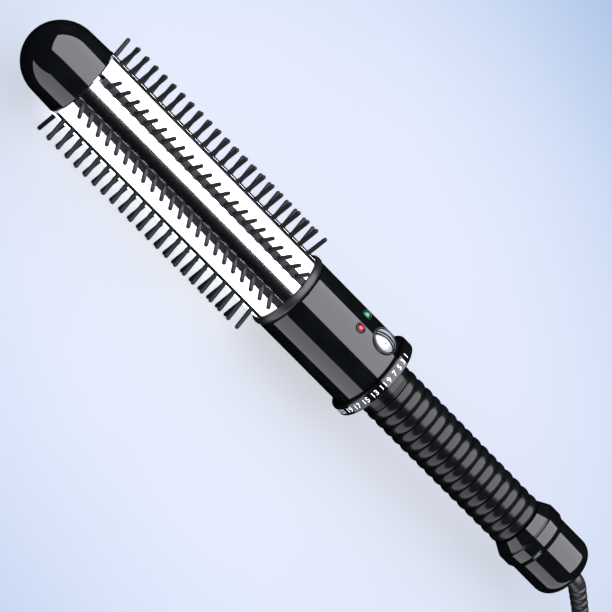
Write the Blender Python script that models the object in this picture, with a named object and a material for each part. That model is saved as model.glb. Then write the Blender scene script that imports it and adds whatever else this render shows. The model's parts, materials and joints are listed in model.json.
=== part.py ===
"""Heated hair-curling brush: a ribbed grip, a round housing with a power button and a turning
heat dial, a metal barrel with eight slide-in bristle strips, and a swivel mains cord.

The brush lies along X on its two lowest bristle rows, its tip towards -X. Units are metres.
"""

import math

import bmesh
import bpy
from mathutils import Matrix, Vector

MM = 0.001
GAP = 0.3 * MM  # between pieces that touch
RUNNING_GAP = 0.6 * MM  # beside a face that moves past another

# Lengths along the axis, from the tip to the end cap
TIP_LENGTH = 26.1 * MM
BARREL_LENGTH = 111.7 * MM
COLLAR_LENGTH = 4.0 * MM
HOUSING_LENGTH = 43.2 * MM
DIAL_WIDTH = 5.0 * MM
NECK_LENGTH = 6.6 * MM
GRIP_RINGS = 16
RING_PITCH = 4.68 * MM
CONE_LENGTH = 5.2 * MM
HUB_WIDTH = 5.0 * MM
CHAMFER_LENGTH = 1.9 * MM
END_CAP_LENGTH = 19.2 * MM

# Radii
TIP_RADIUS = 15.7 * MM
TIP_SHOULDER_RADIUS = 15.4 * MM
BARREL_RADIUS = 15.875 * MM
BARREL_BORE = 12.2 * MM
BEAD_RADIUS = 17.1 * MM
HOUSING_RADIUS = 16.6 * MM
DIAL_RADIUS = 18.8 * MM
NECK_RADIUS = 11.3 * MM
GRIP_FRONT_RADIUS = 11.9 * MM
GRIP_BACK_RADIUS = 11.5 * MM
CORE_RADIUS = 9.4 * MM
HUB_RADIUS = 14.0 * MM
END_CAP_RADIUS = 13.1 * MM
END_CAP_CORNER = 6.5 * MM
PIN_TIP_RADIUS = 26.0 * MM

# Walls and bores
TIP_WALL = 2.0 * MM
TIP_STRAIGHT = 10.4 * MM
HOUSING_WALL = 1.8 * MM
END_CAP_WALL = 2.0 * MM
END_CAP_FLOOR = 3.0 * MM
CORE_WALL = 2.0 * MM
RING_DEPTH = 1.2 * MM
SPIGOT_LENGTH = 8.2 * MM
CRADLE_WALL = 1.6 * MM

# Bristle strips
ROWS = 8
ROW_ANGLE = 2 * math.pi / ROWS
PINS_IN_ROW = 22
PIN_PITCH = 4.88 * MM
PIN_BASE_RADIUS = 0.95 * MM
PIN_END_RADIUS = 0.78 * MM
PIN_ROUNDING = 0.6 * MM
FIRST_PIN = 3.3 * MM  # from the strip's front end
STRIP_START = 1.0 * MM  # from the barrel's front end
STRIP_STEP = 0.9 * MM  # two neighbouring strips are set forward and back by this much
SLOT_MOUTH = 3.2 * MM
SLOT_WIDTH = 5.2 * MM
SLOT_LIP = 1.35 * MM
SLOT_DEPTH = 2.8 * MM

# Heater
SPREADER_START = 14.0 * MM  # from the barrel's front end
SPREADER_LENGTH = 86.0 * MM
PTC_LENGTH = 62.0 * MM
PTC_WIDTH = 11.0 * MM
PTC_THICKNESS = 2.2 * MM
ELECTRODE_LENGTH = 66.0 * MM
ELECTRODE_WIDTH = 10.0 * MM
ELECTRODE_THICKNESS = 0.5 * MM
ELECTRODE_TAB_WIDTH = 3.0 * MM
ELECTRODE_TAB_OVERHANG = 1.5 * MM
SENSOR_BORE = 1.6 * MM
SENSOR_HEIGHT = 7.0 * MM
SENSOR_LENGTH = 6.0 * MM
FUSE_LENGTH = 8.0 * MM
INSULATOR_THICKNESS = 1.6 * MM
INSULATOR_HOLE = 8.0 * MM

# Controls; the button, the board and all that stands on it share one tilted centre plane
CONTROL_TILT = math.radians(4.5)  # from straight up towards +Y
BUTTON_PLACE = 36.0 * MM  # from the housing's front edge
BUTTON_RADIUS = 4.8 * MM
BUTTON_CROWN = 2.2 * MM
BUTTON_PROUD = 2.4 * MM
BUTTON_FLANGE = 1.1 * MM
BUTTON_FLANGE_THICKNESS = 0.8 * MM
BUTTON_TRAVEL = 1.2 * MM
INLAY_WIDTH = 2.0 * MM
INLAY_DEPTH = 1.1 * MM
LED_PLACE = 24.8 * MM
LED_SPREAD = 4.0 * MM
LED_RADIUS = 1.5 * MM
LED_PROUD = 0.9 * MM
LED_LEG = 0.5 * MM
LED_LEG_PITCH = 2.54 * MM
BOARD_HEIGHT = 5.0 * MM
BOARD_THICKNESS = 1.6 * MM
BOARD_HALF_WIDTH = 12.8 * MM
BOARD_MARGIN = 2.0 * MM
BOARD_SCREW_PLACE = 13.7 * MM
BOARD_SCREW_SPREAD = 9.0 * MM
SCREW_RADIUS = 0.9 * MM
SCREW_HEAD_RADIUS = 1.9 * MM
SCREW_HEAD_THICKNESS = 1.2 * MM
SCREW_LENGTH = 6.5 * MM
BOSS_RADIUS = 2.4 * MM
SWITCH_SIDE = 6.2 * MM
SWITCH_HEIGHT = 3.5 * MM
PLUNGER_RADIUS = 1.7 * MM
PLUNGER_DEPTH = 1.4 * MM
TRIAC_SIZE = (4.5 * MM, 10.0 * MM, 5.6 * MM)
TRIAC_PLACE = 20.0 * MM
CAPACITOR_FOOT = (4.4 * MM, 11.0 * MM)
CAPACITOR_PLACE = 29.4 * MM

# Dial
JOURNAL_RADIUS = 12.05 * MM
DIAL_RECESS = 15.0 * MM
DIAL_WEB_START = 1.7 * MM  # from the dial's nominal front
DIAL_WEB = 1.6 * MM
TRACK_RADIUS = 14.4 * MM
TRACK_THICKNESS = 0.8 * MM
WIPER_THICKNESS = 0.6 * MM
WIPER_ANGLE = math.radians(50)
CLIP_WIDTH = 2.0 * MM
CLIP_THICKNESS = 0.9 * MM
CLIP_OPENING = math.radians(50)

# Swivel
CORE_INSET = 2.6 * MM  # the core ends this far before the end cap
CARRIER_LENGTH = 6.4 * MM
HUB_SPIGOT = 4.4 * MM
SPINDLE_RADIUS = 4.0 * MM
SPINDLE_NECK = 3.6 * MM
SPINDLE_FLANGE = 7.5 * MM
SPINDLE_FLANGE_THICKNESS = 2.0 * MM
SLIP_RING_RADIUS = 5.65 * MM
SLIP_RING_WIDTH = 2.2 * MM
SLIP_RING_PITCH = 3.7 * MM
BLADE_THICKNESS = 0.4 * MM
BLADE_WIDTH = 3.0 * MM
BLADE_FOOT = 3.0 * MM

# Strain relief, cord and plug
ELBOW_RADIUS = 8.0 * MM
ELBOW_ANGLE = math.radians(38)
ELBOW_START = 1.5 * MM
BOOT_LENGTH = 24.0 * MM
BOOT_RIBS = 6
BOOT_RIB_RADIUS = 3.6 * MM
BOOT_END_RADIUS = 3.15 * MM
BOOT_GROOVE = 0.6 * MM
CORD_RADIUS = 2.6 * MM
CORD_BEND = [  # (along from the boot, sideways) where the cord crosses the floor to the hank
    (14 * MM, 0.6 * MM), (24 * MM, 4.2 * MM), (34 * MM, 11.5 * MM), (44 * MM, 18.6 * MM),
    (54 * MM, 21.9 * MM),
]
HANK_RUN = 88.0 * MM
HANK_FOLD_RADIUS = 16.5 * MM
HANK_TURN_PITCH = 5.4 * MM
HANK_LAYERS = 3
HANK_LAYER_PITCH = 5.5 * MM
HANK_START = 103.0 * MM  # from the end cap to the middle of the near folds
WAIST_DEPTH = 13.75 * MM
WAIST_SPREAD = 26.0 * MM
TIE_WIDTH = 12.0 * MM
TIE_THICKNESS = 1.0 * MM
TIE_CORNER = 1.3 * MM
PLUG_START = 241.0 * MM  # from the end cap
PLUG_OFFSET = 12.0 * MM
PLUG_HALF_WIDTH = 12.0 * MM
PLUG_HALF_HEIGHT = 7.6 * MM
PLUG_BODY_LENGTH = 24.0 * MM
PLUG_BOOT_LENGTH = 13.0 * MM
PRONG_LENGTH = 17.0 * MM
PRONG_WIDTH = 6.35 * MM
PRONG_THICKNESS = 1.5 * MM
PRONG_SPACING = 12.7 * MM

# Stations along X, with the whole brush centred
TOTAL_LENGTH = (
    TIP_LENGTH + BARREL_LENGTH + COLLAR_LENGTH + HOUSING_LENGTH + DIAL_WIDTH + NECK_LENGTH
    + GRIP_RINGS * RING_PITCH + CONE_LENGTH + HUB_WIDTH + CHAMFER_LENGTH + END_CAP_LENGTH
)
TIP_X = -TOTAL_LENGTH / 2
BARREL_X = TIP_X + TIP_LENGTH
COLLAR_X = BARREL_X + BARREL_LENGTH
HOUSING_X = COLLAR_X + COLLAR_LENGTH
DIAL_X = HOUSING_X + HOUSING_LENGTH
NECK_X = DIAL_X + DIAL_WIDTH
GRIP_X = NECK_X + NECK_LENGTH
CONE_X = GRIP_X + GRIP_RINGS * RING_PITCH
HUB_X = CONE_X + CONE_LENGTH
CHAMFER_X = HUB_X + HUB_WIDTH
END_CAP_X = CHAMFER_X + CHAMFER_LENGTH
END_X = END_CAP_X + END_CAP_LENGTH
AXIS_Z = PIN_TIP_RADIUS * math.cos(ROW_ANGLE / 2)

# Sizes that several pieces share
BARREL_FRONT = BARREL_X + GAP
BARREL_BACK = COLLAR_X + COLLAR_LENGTH * 0.45
INSIDE_BORE = BARREL_BORE - GAP
HOUSING_BORE = HOUSING_RADIUS - HOUSING_WALL
SPIGOT_RADIUS = HOUSING_BORE - GAP
CORE_BORE = CORE_RADIUS - CORE_WALL
FLANGE_FRONT = DIAL_X - 2.8 * MM
FLANGE_BACK = DIAL_X - RUNNING_GAP
CRADLE_FRONT = HOUSING_X + SPIGOT_LENGTH + GAP
BOARD_TOP = BOARD_HEIGHT + BOARD_THICKNESS
ON_BOARD = BOARD_TOP + GAP
STACK_HALF = PTC_THICKNESS / 2 + GAP + ELECTRODE_THICKNESS + GAP
SPREADER_X = BARREL_FRONT + SPREADER_START
PTC_X = SPREADER_X + (SPREADER_LENGTH - PTC_LENGTH) / 2
ELECTRODE_X = SPREADER_X + (SPREADER_LENGTH - ELECTRODE_LENGTH) / 2
SPREADER_END = SPREADER_X + SPREADER_LENGTH
INSULATOR_X = SPREADER_END + ELECTRODE_TAB_OVERHANG + GAP * 2
BUTTON_X = HOUSING_X + BUTTON_PLACE
BUTTON_TOP = HOUSING_RADIUS + BUTTON_PROUD
BUTTON_BOTTOM = HOUSING_BORE - 2.4 * MM
SWITCH_TOP = ON_BOARD + SWITCH_HEIGHT
CORE_END = END_CAP_X - CORE_INSET
CARRIER_END = CORE_END + GAP + CARRIER_LENGTH
SPINDLE_FRONT = CARRIER_END + 1.3 * MM
CAP_FLOOR_X = END_X - END_CAP_FLOOR
SPINDLE_END = CAP_FLOOR_X + 0.5 * MM
HANK_X = END_X + HANK_START
HANK_EDGE = HANK_FOLD_RADIUS + HANK_TURN_PITCH + CORD_RADIUS
HANK_TOP = HANK_LAYER_PITCH * (HANK_LAYERS - 1) + 2 * CORD_RADIUS
STRAND_Y = HANK_FOLD_RADIUS + HANK_TURN_PITCH
STUB = math.sqrt(HANK_EDGE**2 - (STRAND_Y - CORD_RADIUS) ** 2)
PLUG_X = END_X + PLUG_START

COARSE = 16
FINE = 28

LOOKS = {
    "gloss black": ((0.012, 0.012, 0.014), 0.12, 0.0),
    "satin black": ((0.03, 0.03, 0.032), 0.35, 0.0),
    "bristle grey": ((0.06, 0.058, 0.058), 0.45, 0.0),
    "chrome": ((0.86, 0.87, 0.88), 0.06, 1.0),
    "aluminium": ((0.72, 0.73, 0.74), 0.4, 1.0),
    "brass": ((0.72, 0.55, 0.25), 0.3, 1.0),
    "steel": ((0.55, 0.56, 0.57), 0.3, 1.0),
    "silver": ((0.75, 0.76, 0.77), 0.2, 1.0),
    "ceramic": ((0.25, 0.24, 0.22), 0.6, 0.0),
    "mica": ((0.62, 0.56, 0.42), 0.5, 0.0),
    "board": ((0.02, 0.16, 0.06), 0.4, 0.0),
    "green lens": ((0.05, 0.35, 0.12), 0.15, 0.0),
    "red lens": ((0.45, 0.02, 0.03), 0.15, 0.0),
    "cream": ((0.72, 0.68, 0.58), 0.5, 0.0),
    "lead red": ((0.5, 0.04, 0.03), 0.45, 0.0),
    "lead white": ((0.78, 0.78, 0.76), 0.45, 0.0),
    "cord black": ((0.018, 0.018, 0.02), 0.5, 0.0),
}


def clear_scene():
    for obj in list(bpy.data.objects):
        bpy.data.objects.remove(obj, do_unlink=True)


def give_look(obj, look):
    colour, roughness, metallic = LOOKS[look]
    made = bpy.data.materials.new(obj.name)
    made.use_nodes = True
    shader = made.node_tree.nodes["Principled BSDF"]
    shader.inputs["Base Color"].default_value = (*colour, 1.0)
    shader.inputs["Roughness"].default_value = roughness
    shader.inputs["Metallic"].default_value = metallic
    obj.data.materials.append(made)


def new_piece(name, bm, look=None, parent=None, place=(0, 0, 0)):
    """One object from a bmesh. Without a look it is a cutter or a helper, which isn't part of the model."""
    bmesh.ops.recalc_face_normals(bm, faces=bm.faces)
    mesh = bpy.data.meshes.new(name)
    bm.to_mesh(mesh)
    bm.free()
    obj = bpy.data.objects.new(name, mesh)
    bpy.context.scene.collection.objects.link(obj)
    obj.parent = parent
    obj.location = place
    if look is None:
        obj.hide_render = True
        obj.display_type = "WIRE"
    else:
        give_look(obj, look)
        mesh.shade_smooth()
        mesh.set_sharp_from_angle(angle=math.radians(35))
    return obj


def new_frame(name, place, tilt=0.0, parent=None):
    frame = bpy.data.objects.new(name, None)
    bpy.context.scene.collection.objects.link(frame)
    frame.parent = parent
    frame.location = place
    frame.rotation_euler = (tilt, 0, 0)
    frame.empty_display_size = 10 * MM
    return frame


def add_turned(bm, profile, segments, place=None):
    """Adds the solid that a profile of (along X, radius) points sweeps round the X axis."""
    verts = [bm.verts.new((x, 0, r)) for x, r in profile]
    edges = [bm.edges.new(pair) for pair in zip(verts, verts[1:])]
    if min(profile[0][1], profile[-1][1]) > 0:
        edges.append(bm.edges.new((verts[-1], verts[0])))
    before = set(bm.verts) - set(verts)
    bmesh.ops.spin(
        bm, geom=verts + edges, cent=(0, 0, 0), axis=(1, 0, 0), angle=2 * math.pi,
        steps=segments, use_merge=True,
    )
    added = [v for v in bm.verts if v not in before]
    bmesh.ops.remove_doubles(bm, verts=added, dist=0.001 * MM)
    added = [v for v in bm.verts if v not in before]
    if place is not None:
        bmesh.ops.transform(bm, matrix=place, verts=added)


def turned(name, profile, look=None, segments=FINE, parent=None, place=(0, 0, 0)):
    bm = bmesh.new()
    add_turned(bm, profile, segments)
    return new_piece(name, bm, look, parent, place)


UPRIGHT = Matrix.Rotation(-math.pi / 2, 4, "Y")  # turns a profile along X to one along +Z


def turned_upright(name, profile, look=None, segments=COARSE, parent=None, place=(0, 0, 0)):
    """As turned, but the profile's (height, radius) points go round a vertical axis."""
    bm = bmesh.new()
    add_turned(bm, profile, segments, UPRIGHT)
    return new_piece(name, bm, look, parent, place)


def extruded(name, outline, start, end, look=None, axis="X", parent=None, place=(0, 0, 0)):
    """An outline of points in the plane across the axis, carried along it from start to end."""
    order = {"X": (2, 0, 1), "Y": (0, 2, 1), "Z": (0, 1, 2)}[axis]
    bm = bmesh.new()
    corners = [(*point, start) for point in outline]
    face = bm.faces.new([bm.verts.new([c[i] for i in order]) for c in corners])
    moved = bmesh.ops.extrude_face_region(bm, geom=[face])
    step = [(0, 0, end - start)[i] for i in order]
    bmesh.ops.translate(
        bm, vec=step, verts=[v for v in moved["geom"] if isinstance(v, bmesh.types.BMVert)]
    )
    return new_piece(name, bm, look, parent, place)


def block(name, low, high, look=None, parent=None):
    outline = [(low[0], low[1]), (high[0], low[1]), (high[0], high[1]), (low[0], high[1])]
    return extruded(name, outline, low[2], high[2], look, "Z", parent)


def lofted(name, rings, look, parent=None, place=(0, 0, 0)):
    """A solid skinned over rings that all have the same number of points."""
    bm = bmesh.new()
    rows = [[bm.verts.new(point) for point in ring] for ring in rings]
    count = len(rows[0])
    for row, following in zip(rows, rows[1:]):
        for i in range(count):
            j = (i + 1) % count
            bm.faces.new((row[i], row[j], following[j], following[i]))
    bm.faces.new(rows[0])
    bm.faces.new(rows[-1])
    return new_piece(name, bm, look, parent, place)


def combine(target, tool, operation):
    modifier = target.modifiers.new(f"{operation.lower()} {tool.name}", "BOOLEAN")
    modifier.operation = operation
    modifier.object = tool


def arc(centre, radius, start, end, steps):
    """Points of an arc, both ends included; radius may be a pair for an elliptical arc."""
    wide, high = radius if isinstance(radius, tuple) else (radius, radius)
    angles = [start + (end - start) * i / steps for i in range(steps + 1)]
    return [(centre[0] + wide * math.cos(a), centre[1] + high * math.sin(a)) for a in angles]


def smooth_route(route, spacing):
    """Evenly spread points on a smooth curve through the route's own points."""
    route = [Vector(point) for point in route]
    ends = [route[0] * 2 - route[1], *route, route[-1] * 2 - route[-2]]
    fine = []
    for a, b, c, d in zip(ends, ends[1:], ends[2:], ends[3:]):
        for i in range(12):
            t = i / 12
            fine.append(
                0.5 * (2 * b + (c - a) * t + (2 * a - 5 * b + 4 * c - d) * t**2
                       + (3 * b - a - 3 * c + d) * t**3)
            )
    fine.append(route[-1])
    lengths = [0.0]
    for a, b in zip(fine, fine[1:]):
        lengths.append(lengths[-1] + (b - a).length)
    count = max(2, round(lengths[-1] / spacing))
    points, at = [], 0
    for i in range(count + 1):
        target = lengths[-1] * i / count
        while at < len(fine) - 2 and lengths[at + 1] < target:
            at += 1
        share = (target - lengths[at]) / (lengths[at + 1] - lengths[at])
        points.append(fine[at].lerp(fine[at + 1], min(share, 1.0)))
    return points


def tube(name, route, radius, look, spacing, resolution=2, parent=None):
    """A round lead or cord along a smooth route."""
    curve = bpy.data.curves.new(name, "CURVE")
    curve.dimensions = "3D"
    curve.bevel_depth = radius
    curve.bevel_resolution = resolution
    curve.use_fill_caps = True
    points = smooth_route(route, spacing)
    spline = curve.splines.new("POLY")
    spline.points.add(len(points) - 1)
    for knot, point in zip(spline.points, points):
        knot.co = (*point, 1.0)
    obj = bpy.data.objects.new(name, curve)
    bpy.context.scene.collection.objects.link(obj)
    obj.parent = parent
    give_look(obj, look)
    return obj


def make_tip(axis):
    nose = (TIP_LENGTH - TIP_STRAIGHT, TIP_SHOULDER_RADIUS)
    inner = (nose[0] - TIP_WALL, nose[1] - TIP_WALL)
    bore = TIP_RADIUS - TIP_WALL
    shoulder = TIP_X + nose[0]
    outer_nose = arc((shoulder, 0), nose, math.pi, math.pi / 2, 8)
    inner_nose = arc((shoulder, 0), inner, math.pi / 2, math.pi, 4)
    profile = [(x, max(r, 0.0)) for x, r in outer_nose]
    profile += [(BARREL_X, TIP_RADIUS), (BARREL_X, bore)]
    profile += [(x, r if r > 1e-9 else 0.0) for x, r in inner_nose]
    turned("tip_cap", profile, "gloss black", parent=axis)
    plug, plug_front = bore - GAP, inner[1] - GAP
    turned(
        "tip_insert",
        [
            (BARREL_X - 10 * MM, plug_front - TIP_WALL), (BARREL_X - 10 * MM, plug_front),
            (BARREL_X, plug), (BARREL_X, INSIDE_BORE),
            (BARREL_X + 8 * MM, INSIDE_BORE), (BARREL_X + 8 * MM, 0),
            (BARREL_X + 5 * MM, 0), (BARREL_X + 5 * MM, INSIDE_BORE - TIP_WALL),
        ],
        "cream", COARSE, axis,
    )


def row_angle(row):
    return ROW_ANGLE * (row + 0.5)


def barrel_outline():
    """The extrusion's outline, with one T-shaped slot for each bristle strip."""
    half_mouth, half_slot = SLOT_MOUTH / 2, SLOT_WIDTH / 2
    lip = BARREL_RADIUS - SLOT_LIP
    floor = BARREL_RADIUS - SLOT_DEPTH
    edge = math.asin(half_mouth / BARREL_RADIUS)
    points = []
    for row in range(ROWS):
        middle = row_angle(row)
        slot = [
            (half_mouth, BARREL_RADIUS * math.cos(edge)), (half_mouth, lip), (half_slot, lip),
            (half_slot, floor), (-half_slot, floor), (-half_slot, lip), (-half_mouth, lip),
            (-half_mouth, BARREL_RADIUS * math.cos(edge)),
        ]
        for side, out in reversed(slot):
            points.append(
                (side * math.cos(middle) + out * math.sin(middle),
                 out * math.cos(middle) - side * math.sin(middle))
            )
        land = arc((0, 0), BARREL_RADIUS, middle + edge, middle + ROW_ANGLE - edge, 5)[1:-1]
        points += [(y, z) for z, y in land]
    return points


def make_barrel(axis):
    barrel = extruded("barrel", barrel_outline(), BARREL_FRONT, BARREL_BACK, "chrome", parent=axis)
    bore = turned(
        "barrel_bore",
        [(BARREL_FRONT - MM, 0), (BARREL_FRONT - MM, BARREL_BORE), (BARREL_BACK + MM, BARREL_BORE),
         (BARREL_BACK + MM, 0)],
        parent=axis,
    )
    combine(barrel, bore, "DIFFERENCE")


def make_strip(axis, row, step):
    """A T-shaped rail with one row of pins, modelled straight up and turned to its slot."""
    start = BARREL_FRONT + STRIP_START + step
    end = BARREL_BACK - GAP
    neck, foot = SLOT_MOUTH / 2 - GAP, SLOT_WIDTH / 2 - GAP
    floor = BARREL_RADIUS - SLOT_DEPTH + GAP
    shelf = BARREL_RADIUS - SLOT_LIP - GAP
    top = BARREL_RADIUS - 0.1 * MM
    outline = [
        (-foot, floor), (foot, floor), (foot, shelf), (neck, shelf),
        (neck, top), (-neck, top), (-neck, shelf), (-foot, shelf),
    ]
    name = f"bristle_strip_{row + 1}"
    strip = extruded(name, outline, start, end, "bristle grey", parent=axis)
    pins = bmesh.new()
    profile = [
        (shelf, 0), (shelf, PIN_BASE_RADIUS),
        (PIN_TIP_RADIUS - PIN_ROUNDING, PIN_END_RADIUS), (PIN_TIP_RADIUS, 0),
    ]
    for i in range(PINS_IN_ROW):
        x = start + FIRST_PIN + i * PIN_PITCH
        add_turned(pins, profile, 6, Matrix.Translation((x, 0, 0)) @ UPRIGHT)
    helper = new_piece(f"{name}_pins", pins, parent=axis)
    for obj in (strip, helper):
        obj.rotation_euler = (-row_angle(row), 0, 0)
    combine(strip, helper, "UNION")


def make_heater(control):
    flat = math.asin(STACK_HALF / INSIDE_BORE)
    upper = arc((0, 0), INSIDE_BORE, flat, math.pi - flat, 16)
    sensor_hole = turned(
        "sensor_bore",
        [(SPREADER_X - MM, 0), (SPREADER_X - MM, SENSOR_BORE), (SPREADER_END + MM, SENSOR_BORE),
         (SPREADER_END + MM, 0)],
        segments=12, parent=control, place=(0, 0, SENSOR_HEIGHT),
    )
    for name, side in (("heat_spreader_upper", 1), ("heat_spreader_lower", -1)):
        outline = [(y, z * side) for y, z in upper]
        spreader = extruded(name, outline, SPREADER_X, SPREADER_END, "aluminium", parent=control)
        if side > 0:
            combine(spreader, sensor_hole, "DIFFERENCE")
    half = PTC_THICKNESS / 2
    block(
        "ptc_heater", (PTC_X, -PTC_WIDTH / 2, -half), (PTC_X + PTC_LENGTH, PTC_WIDTH / 2, half),
        "ceramic", control,
    )
    back = ELECTRODE_X + ELECTRODE_LENGTH
    tab_end = SPREADER_END + ELECTRODE_TAB_OVERHANG
    edge = ELECTRODE_WIDTH / 2
    for name, side in (("electrode_upper", 1), ("electrode_lower", -1)):
        inner = side * edge - side * ELECTRODE_TAB_WIDTH
        outline = [
            (ELECTRODE_X, -side * edge), (back, -side * edge), (back, inner),
            (tab_end, inner), (tab_end, side * edge), (ELECTRODE_X, side * edge),
        ]
        low = half + GAP if side > 0 else -half - GAP - ELECTRODE_THICKNESS
        extruded(name, outline, low, low + ELECTRODE_THICKNESS, "aluminium", "Z", control)
    turned(
        "thermal_fuse",
        [(back + GAP, 0), (back + GAP, 1.4 * MM), (back + MM, STACK_HALF - GAP),
         (back + FUSE_LENGTH, STACK_HALF - GAP), (back + FUSE_LENGTH, 0)],
        "steel", 12, control,
    )
    sensor = SENSOR_BORE - GAP
    turned(
        "thermistor",
        [(SPREADER_END - SENSOR_LENGTH, 0), (SPREADER_END - SENSOR_LENGTH + 0.6 * MM, sensor),
         (SPREADER_END, sensor), (SPREADER_END, 0)],
        "ceramic", 12, control, (0, 0, SENSOR_HEIGHT),
    )
    turned(
        "insulator_disc",
        [(INSULATOR_X, INSULATOR_HOLE), (INSULATOR_X, INSIDE_BORE),
         (INSULATOR_X + INSULATOR_THICKNESS, INSIDE_BORE),
         (INSULATOR_X + INSULATOR_THICKNESS, INSULATOR_HOLE)],
        "mica", COARSE, control,
    )


def make_collar(axis):
    """The collar holds the barrel's end in a groove and the housing on a spigot."""
    bead_back = HOUSING_X - RUNNING_GAP
    groove = BARREL_BACK + GAP
    bead = arc(
        ((COLLAR_X + bead_back) / 2, BEAD_RADIUS - 0.9 * MM),
        ((bead_back - COLLAR_X) / 2, 0.9 * MM), math.pi, 0, 6,
    )
    bore = 9.5 * MM
    profile = [
        (COLLAR_X - SPIGOT_LENGTH + MM, bore), (COLLAR_X - SPIGOT_LENGTH + MM, INSIDE_BORE),
        (groove, INSIDE_BORE), (groove, BARREL_RADIUS + GAP), (COLLAR_X, BARREL_RADIUS + GAP),
    ]
    profile += bead + [
        (bead_back, SPIGOT_RADIUS), (HOUSING_X + SPIGOT_LENGTH, SPIGOT_RADIUS),
        (HOUSING_X + SPIGOT_LENGTH, bore),
    ]
    turned("front_collar", profile, "satin black", parent=axis)


def make_housing(axis, control):
    back = DIAL_X - GAP
    chamfer = 0.4 * MM
    housing = turned(
        "housing",
        [
            (HOUSING_X, HOUSING_BORE), (HOUSING_X, HOUSING_RADIUS - chamfer),
            (HOUSING_X + chamfer, HOUSING_RADIUS), (back - chamfer, HOUSING_RADIUS),
            (back, HOUSING_RADIUS - chamfer), (back, HOUSING_BORE),
        ],
        "gloss black", parent=axis,
    )
    through = [HOUSING_BORE - 3 * MM, HOUSING_RADIUS + 2 * MM]
    holes = [("button_hole", BUTTON_X, 0, BUTTON_RADIUS + GAP)]
    for name, side in (("led_hole_back", LED_SPREAD), ("led_hole_front", -LED_SPREAD)):
        holes.append((name, HOUSING_X + LED_PLACE, side, LED_RADIUS + GAP))
    for name, x, y, radius in holes:
        hole = turned_upright(
            name, [(through[0], 0), (through[0], radius), (through[1], radius), (through[1], 0)],
            parent=control, place=(x, y, 0),
        )
        combine(housing, hole, "DIFFERENCE")


def make_board(control):
    front, back = CRADLE_FRONT + BOARD_MARGIN - GAP, FLANGE_FRONT - GAP
    board = block(
        "control_board", (front, -BOARD_HALF_WIDTH, BOARD_HEIGHT),
        (back, BOARD_HALF_WIDTH, BOARD_TOP), "board", control,
    )
    screw_x = HOUSING_X + BOARD_SCREW_PLACE
    for name, side in (("board_screw_back", 1), ("board_screw_front", -1)):
        place = (screw_x, side * BOARD_SCREW_SPREAD, 0)
        hole = SCREW_RADIUS + GAP
        cutter = turned_upright(
            f"{name}_hole",
            [(BOARD_HEIGHT - MM, 0), (BOARD_HEIGHT - MM, hole), (BOARD_TOP + MM, hole),
             (BOARD_TOP + MM, 0)],
            segments=12, parent=control, place=place,
        )
        combine(board, cutter, "DIFFERENCE")
        head = ON_BOARD + SCREW_HEAD_THICKNESS
        turned_upright(
            name,
            [(ON_BOARD - SCREW_LENGTH, 0), (ON_BOARD - SCREW_LENGTH, SCREW_RADIUS),
             (ON_BOARD, SCREW_RADIUS), (ON_BOARD, SCREW_HEAD_RADIUS), (head, SCREW_HEAD_RADIUS * 0.8),
             (head, 0)],
            "steel", 12, control, place,
        )
    under_button = BUTTON_BOTTOM - BUTTON_TRAVEL - GAP - ON_BOARD
    for name, size, at, look in (
        ("triac", TRIAC_SIZE, TRIAC_PLACE, "satin black"),
        ("dropper_capacitor", (*CAPACITOR_FOOT, under_button), CAPACITOR_PLACE, "cream"),
    ):
        x = HOUSING_X + at
        block(
            name, (x - size[0] / 2, -size[1] / 2, ON_BOARD),
            (x + size[0] / 2, size[1] / 2, ON_BOARD + size[2]), look, control,
        )


def make_leds(control):
    surface = math.sqrt(HOUSING_RADIUS**2 - LED_SPREAD**2)
    top = surface + LED_PROUD
    shoulder = top - LED_RADIUS
    base = shoulder - 4.2 * MM
    for name, side, look in (
        ("led_green", LED_SPREAD, "green lens"), ("led_red", -LED_SPREAD, "red lens")
    ):
        dome = arc((shoulder, 0), LED_RADIUS, math.pi / 2, 0, 4)[1:-1]
        profile = [(base, 0), (base, LED_RADIUS + 0.3 * MM), (base + MM, LED_RADIUS + 0.3 * MM)]
        profile += [(base + MM, LED_RADIUS), (shoulder, LED_RADIUS), *dome, (top, 0)]
        led = turned_upright(
            name, profile, look, 16, control, (HOUSING_X + LED_PLACE, side, 0)
        )
        for number, shift in enumerate((-LED_LEG_PITCH / 2, LED_LEG_PITCH / 2)):
            x = HOUSING_X + LED_PLACE + shift
            leg = block(
                f"{name}_leg_{number}", (x - LED_LEG / 2, side - LED_LEG / 2, ON_BOARD),
                (x + LED_LEG / 2, side + LED_LEG / 2, base + 0.5 * MM), parent=control,
            )
            combine(led, leg, "UNION")


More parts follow.
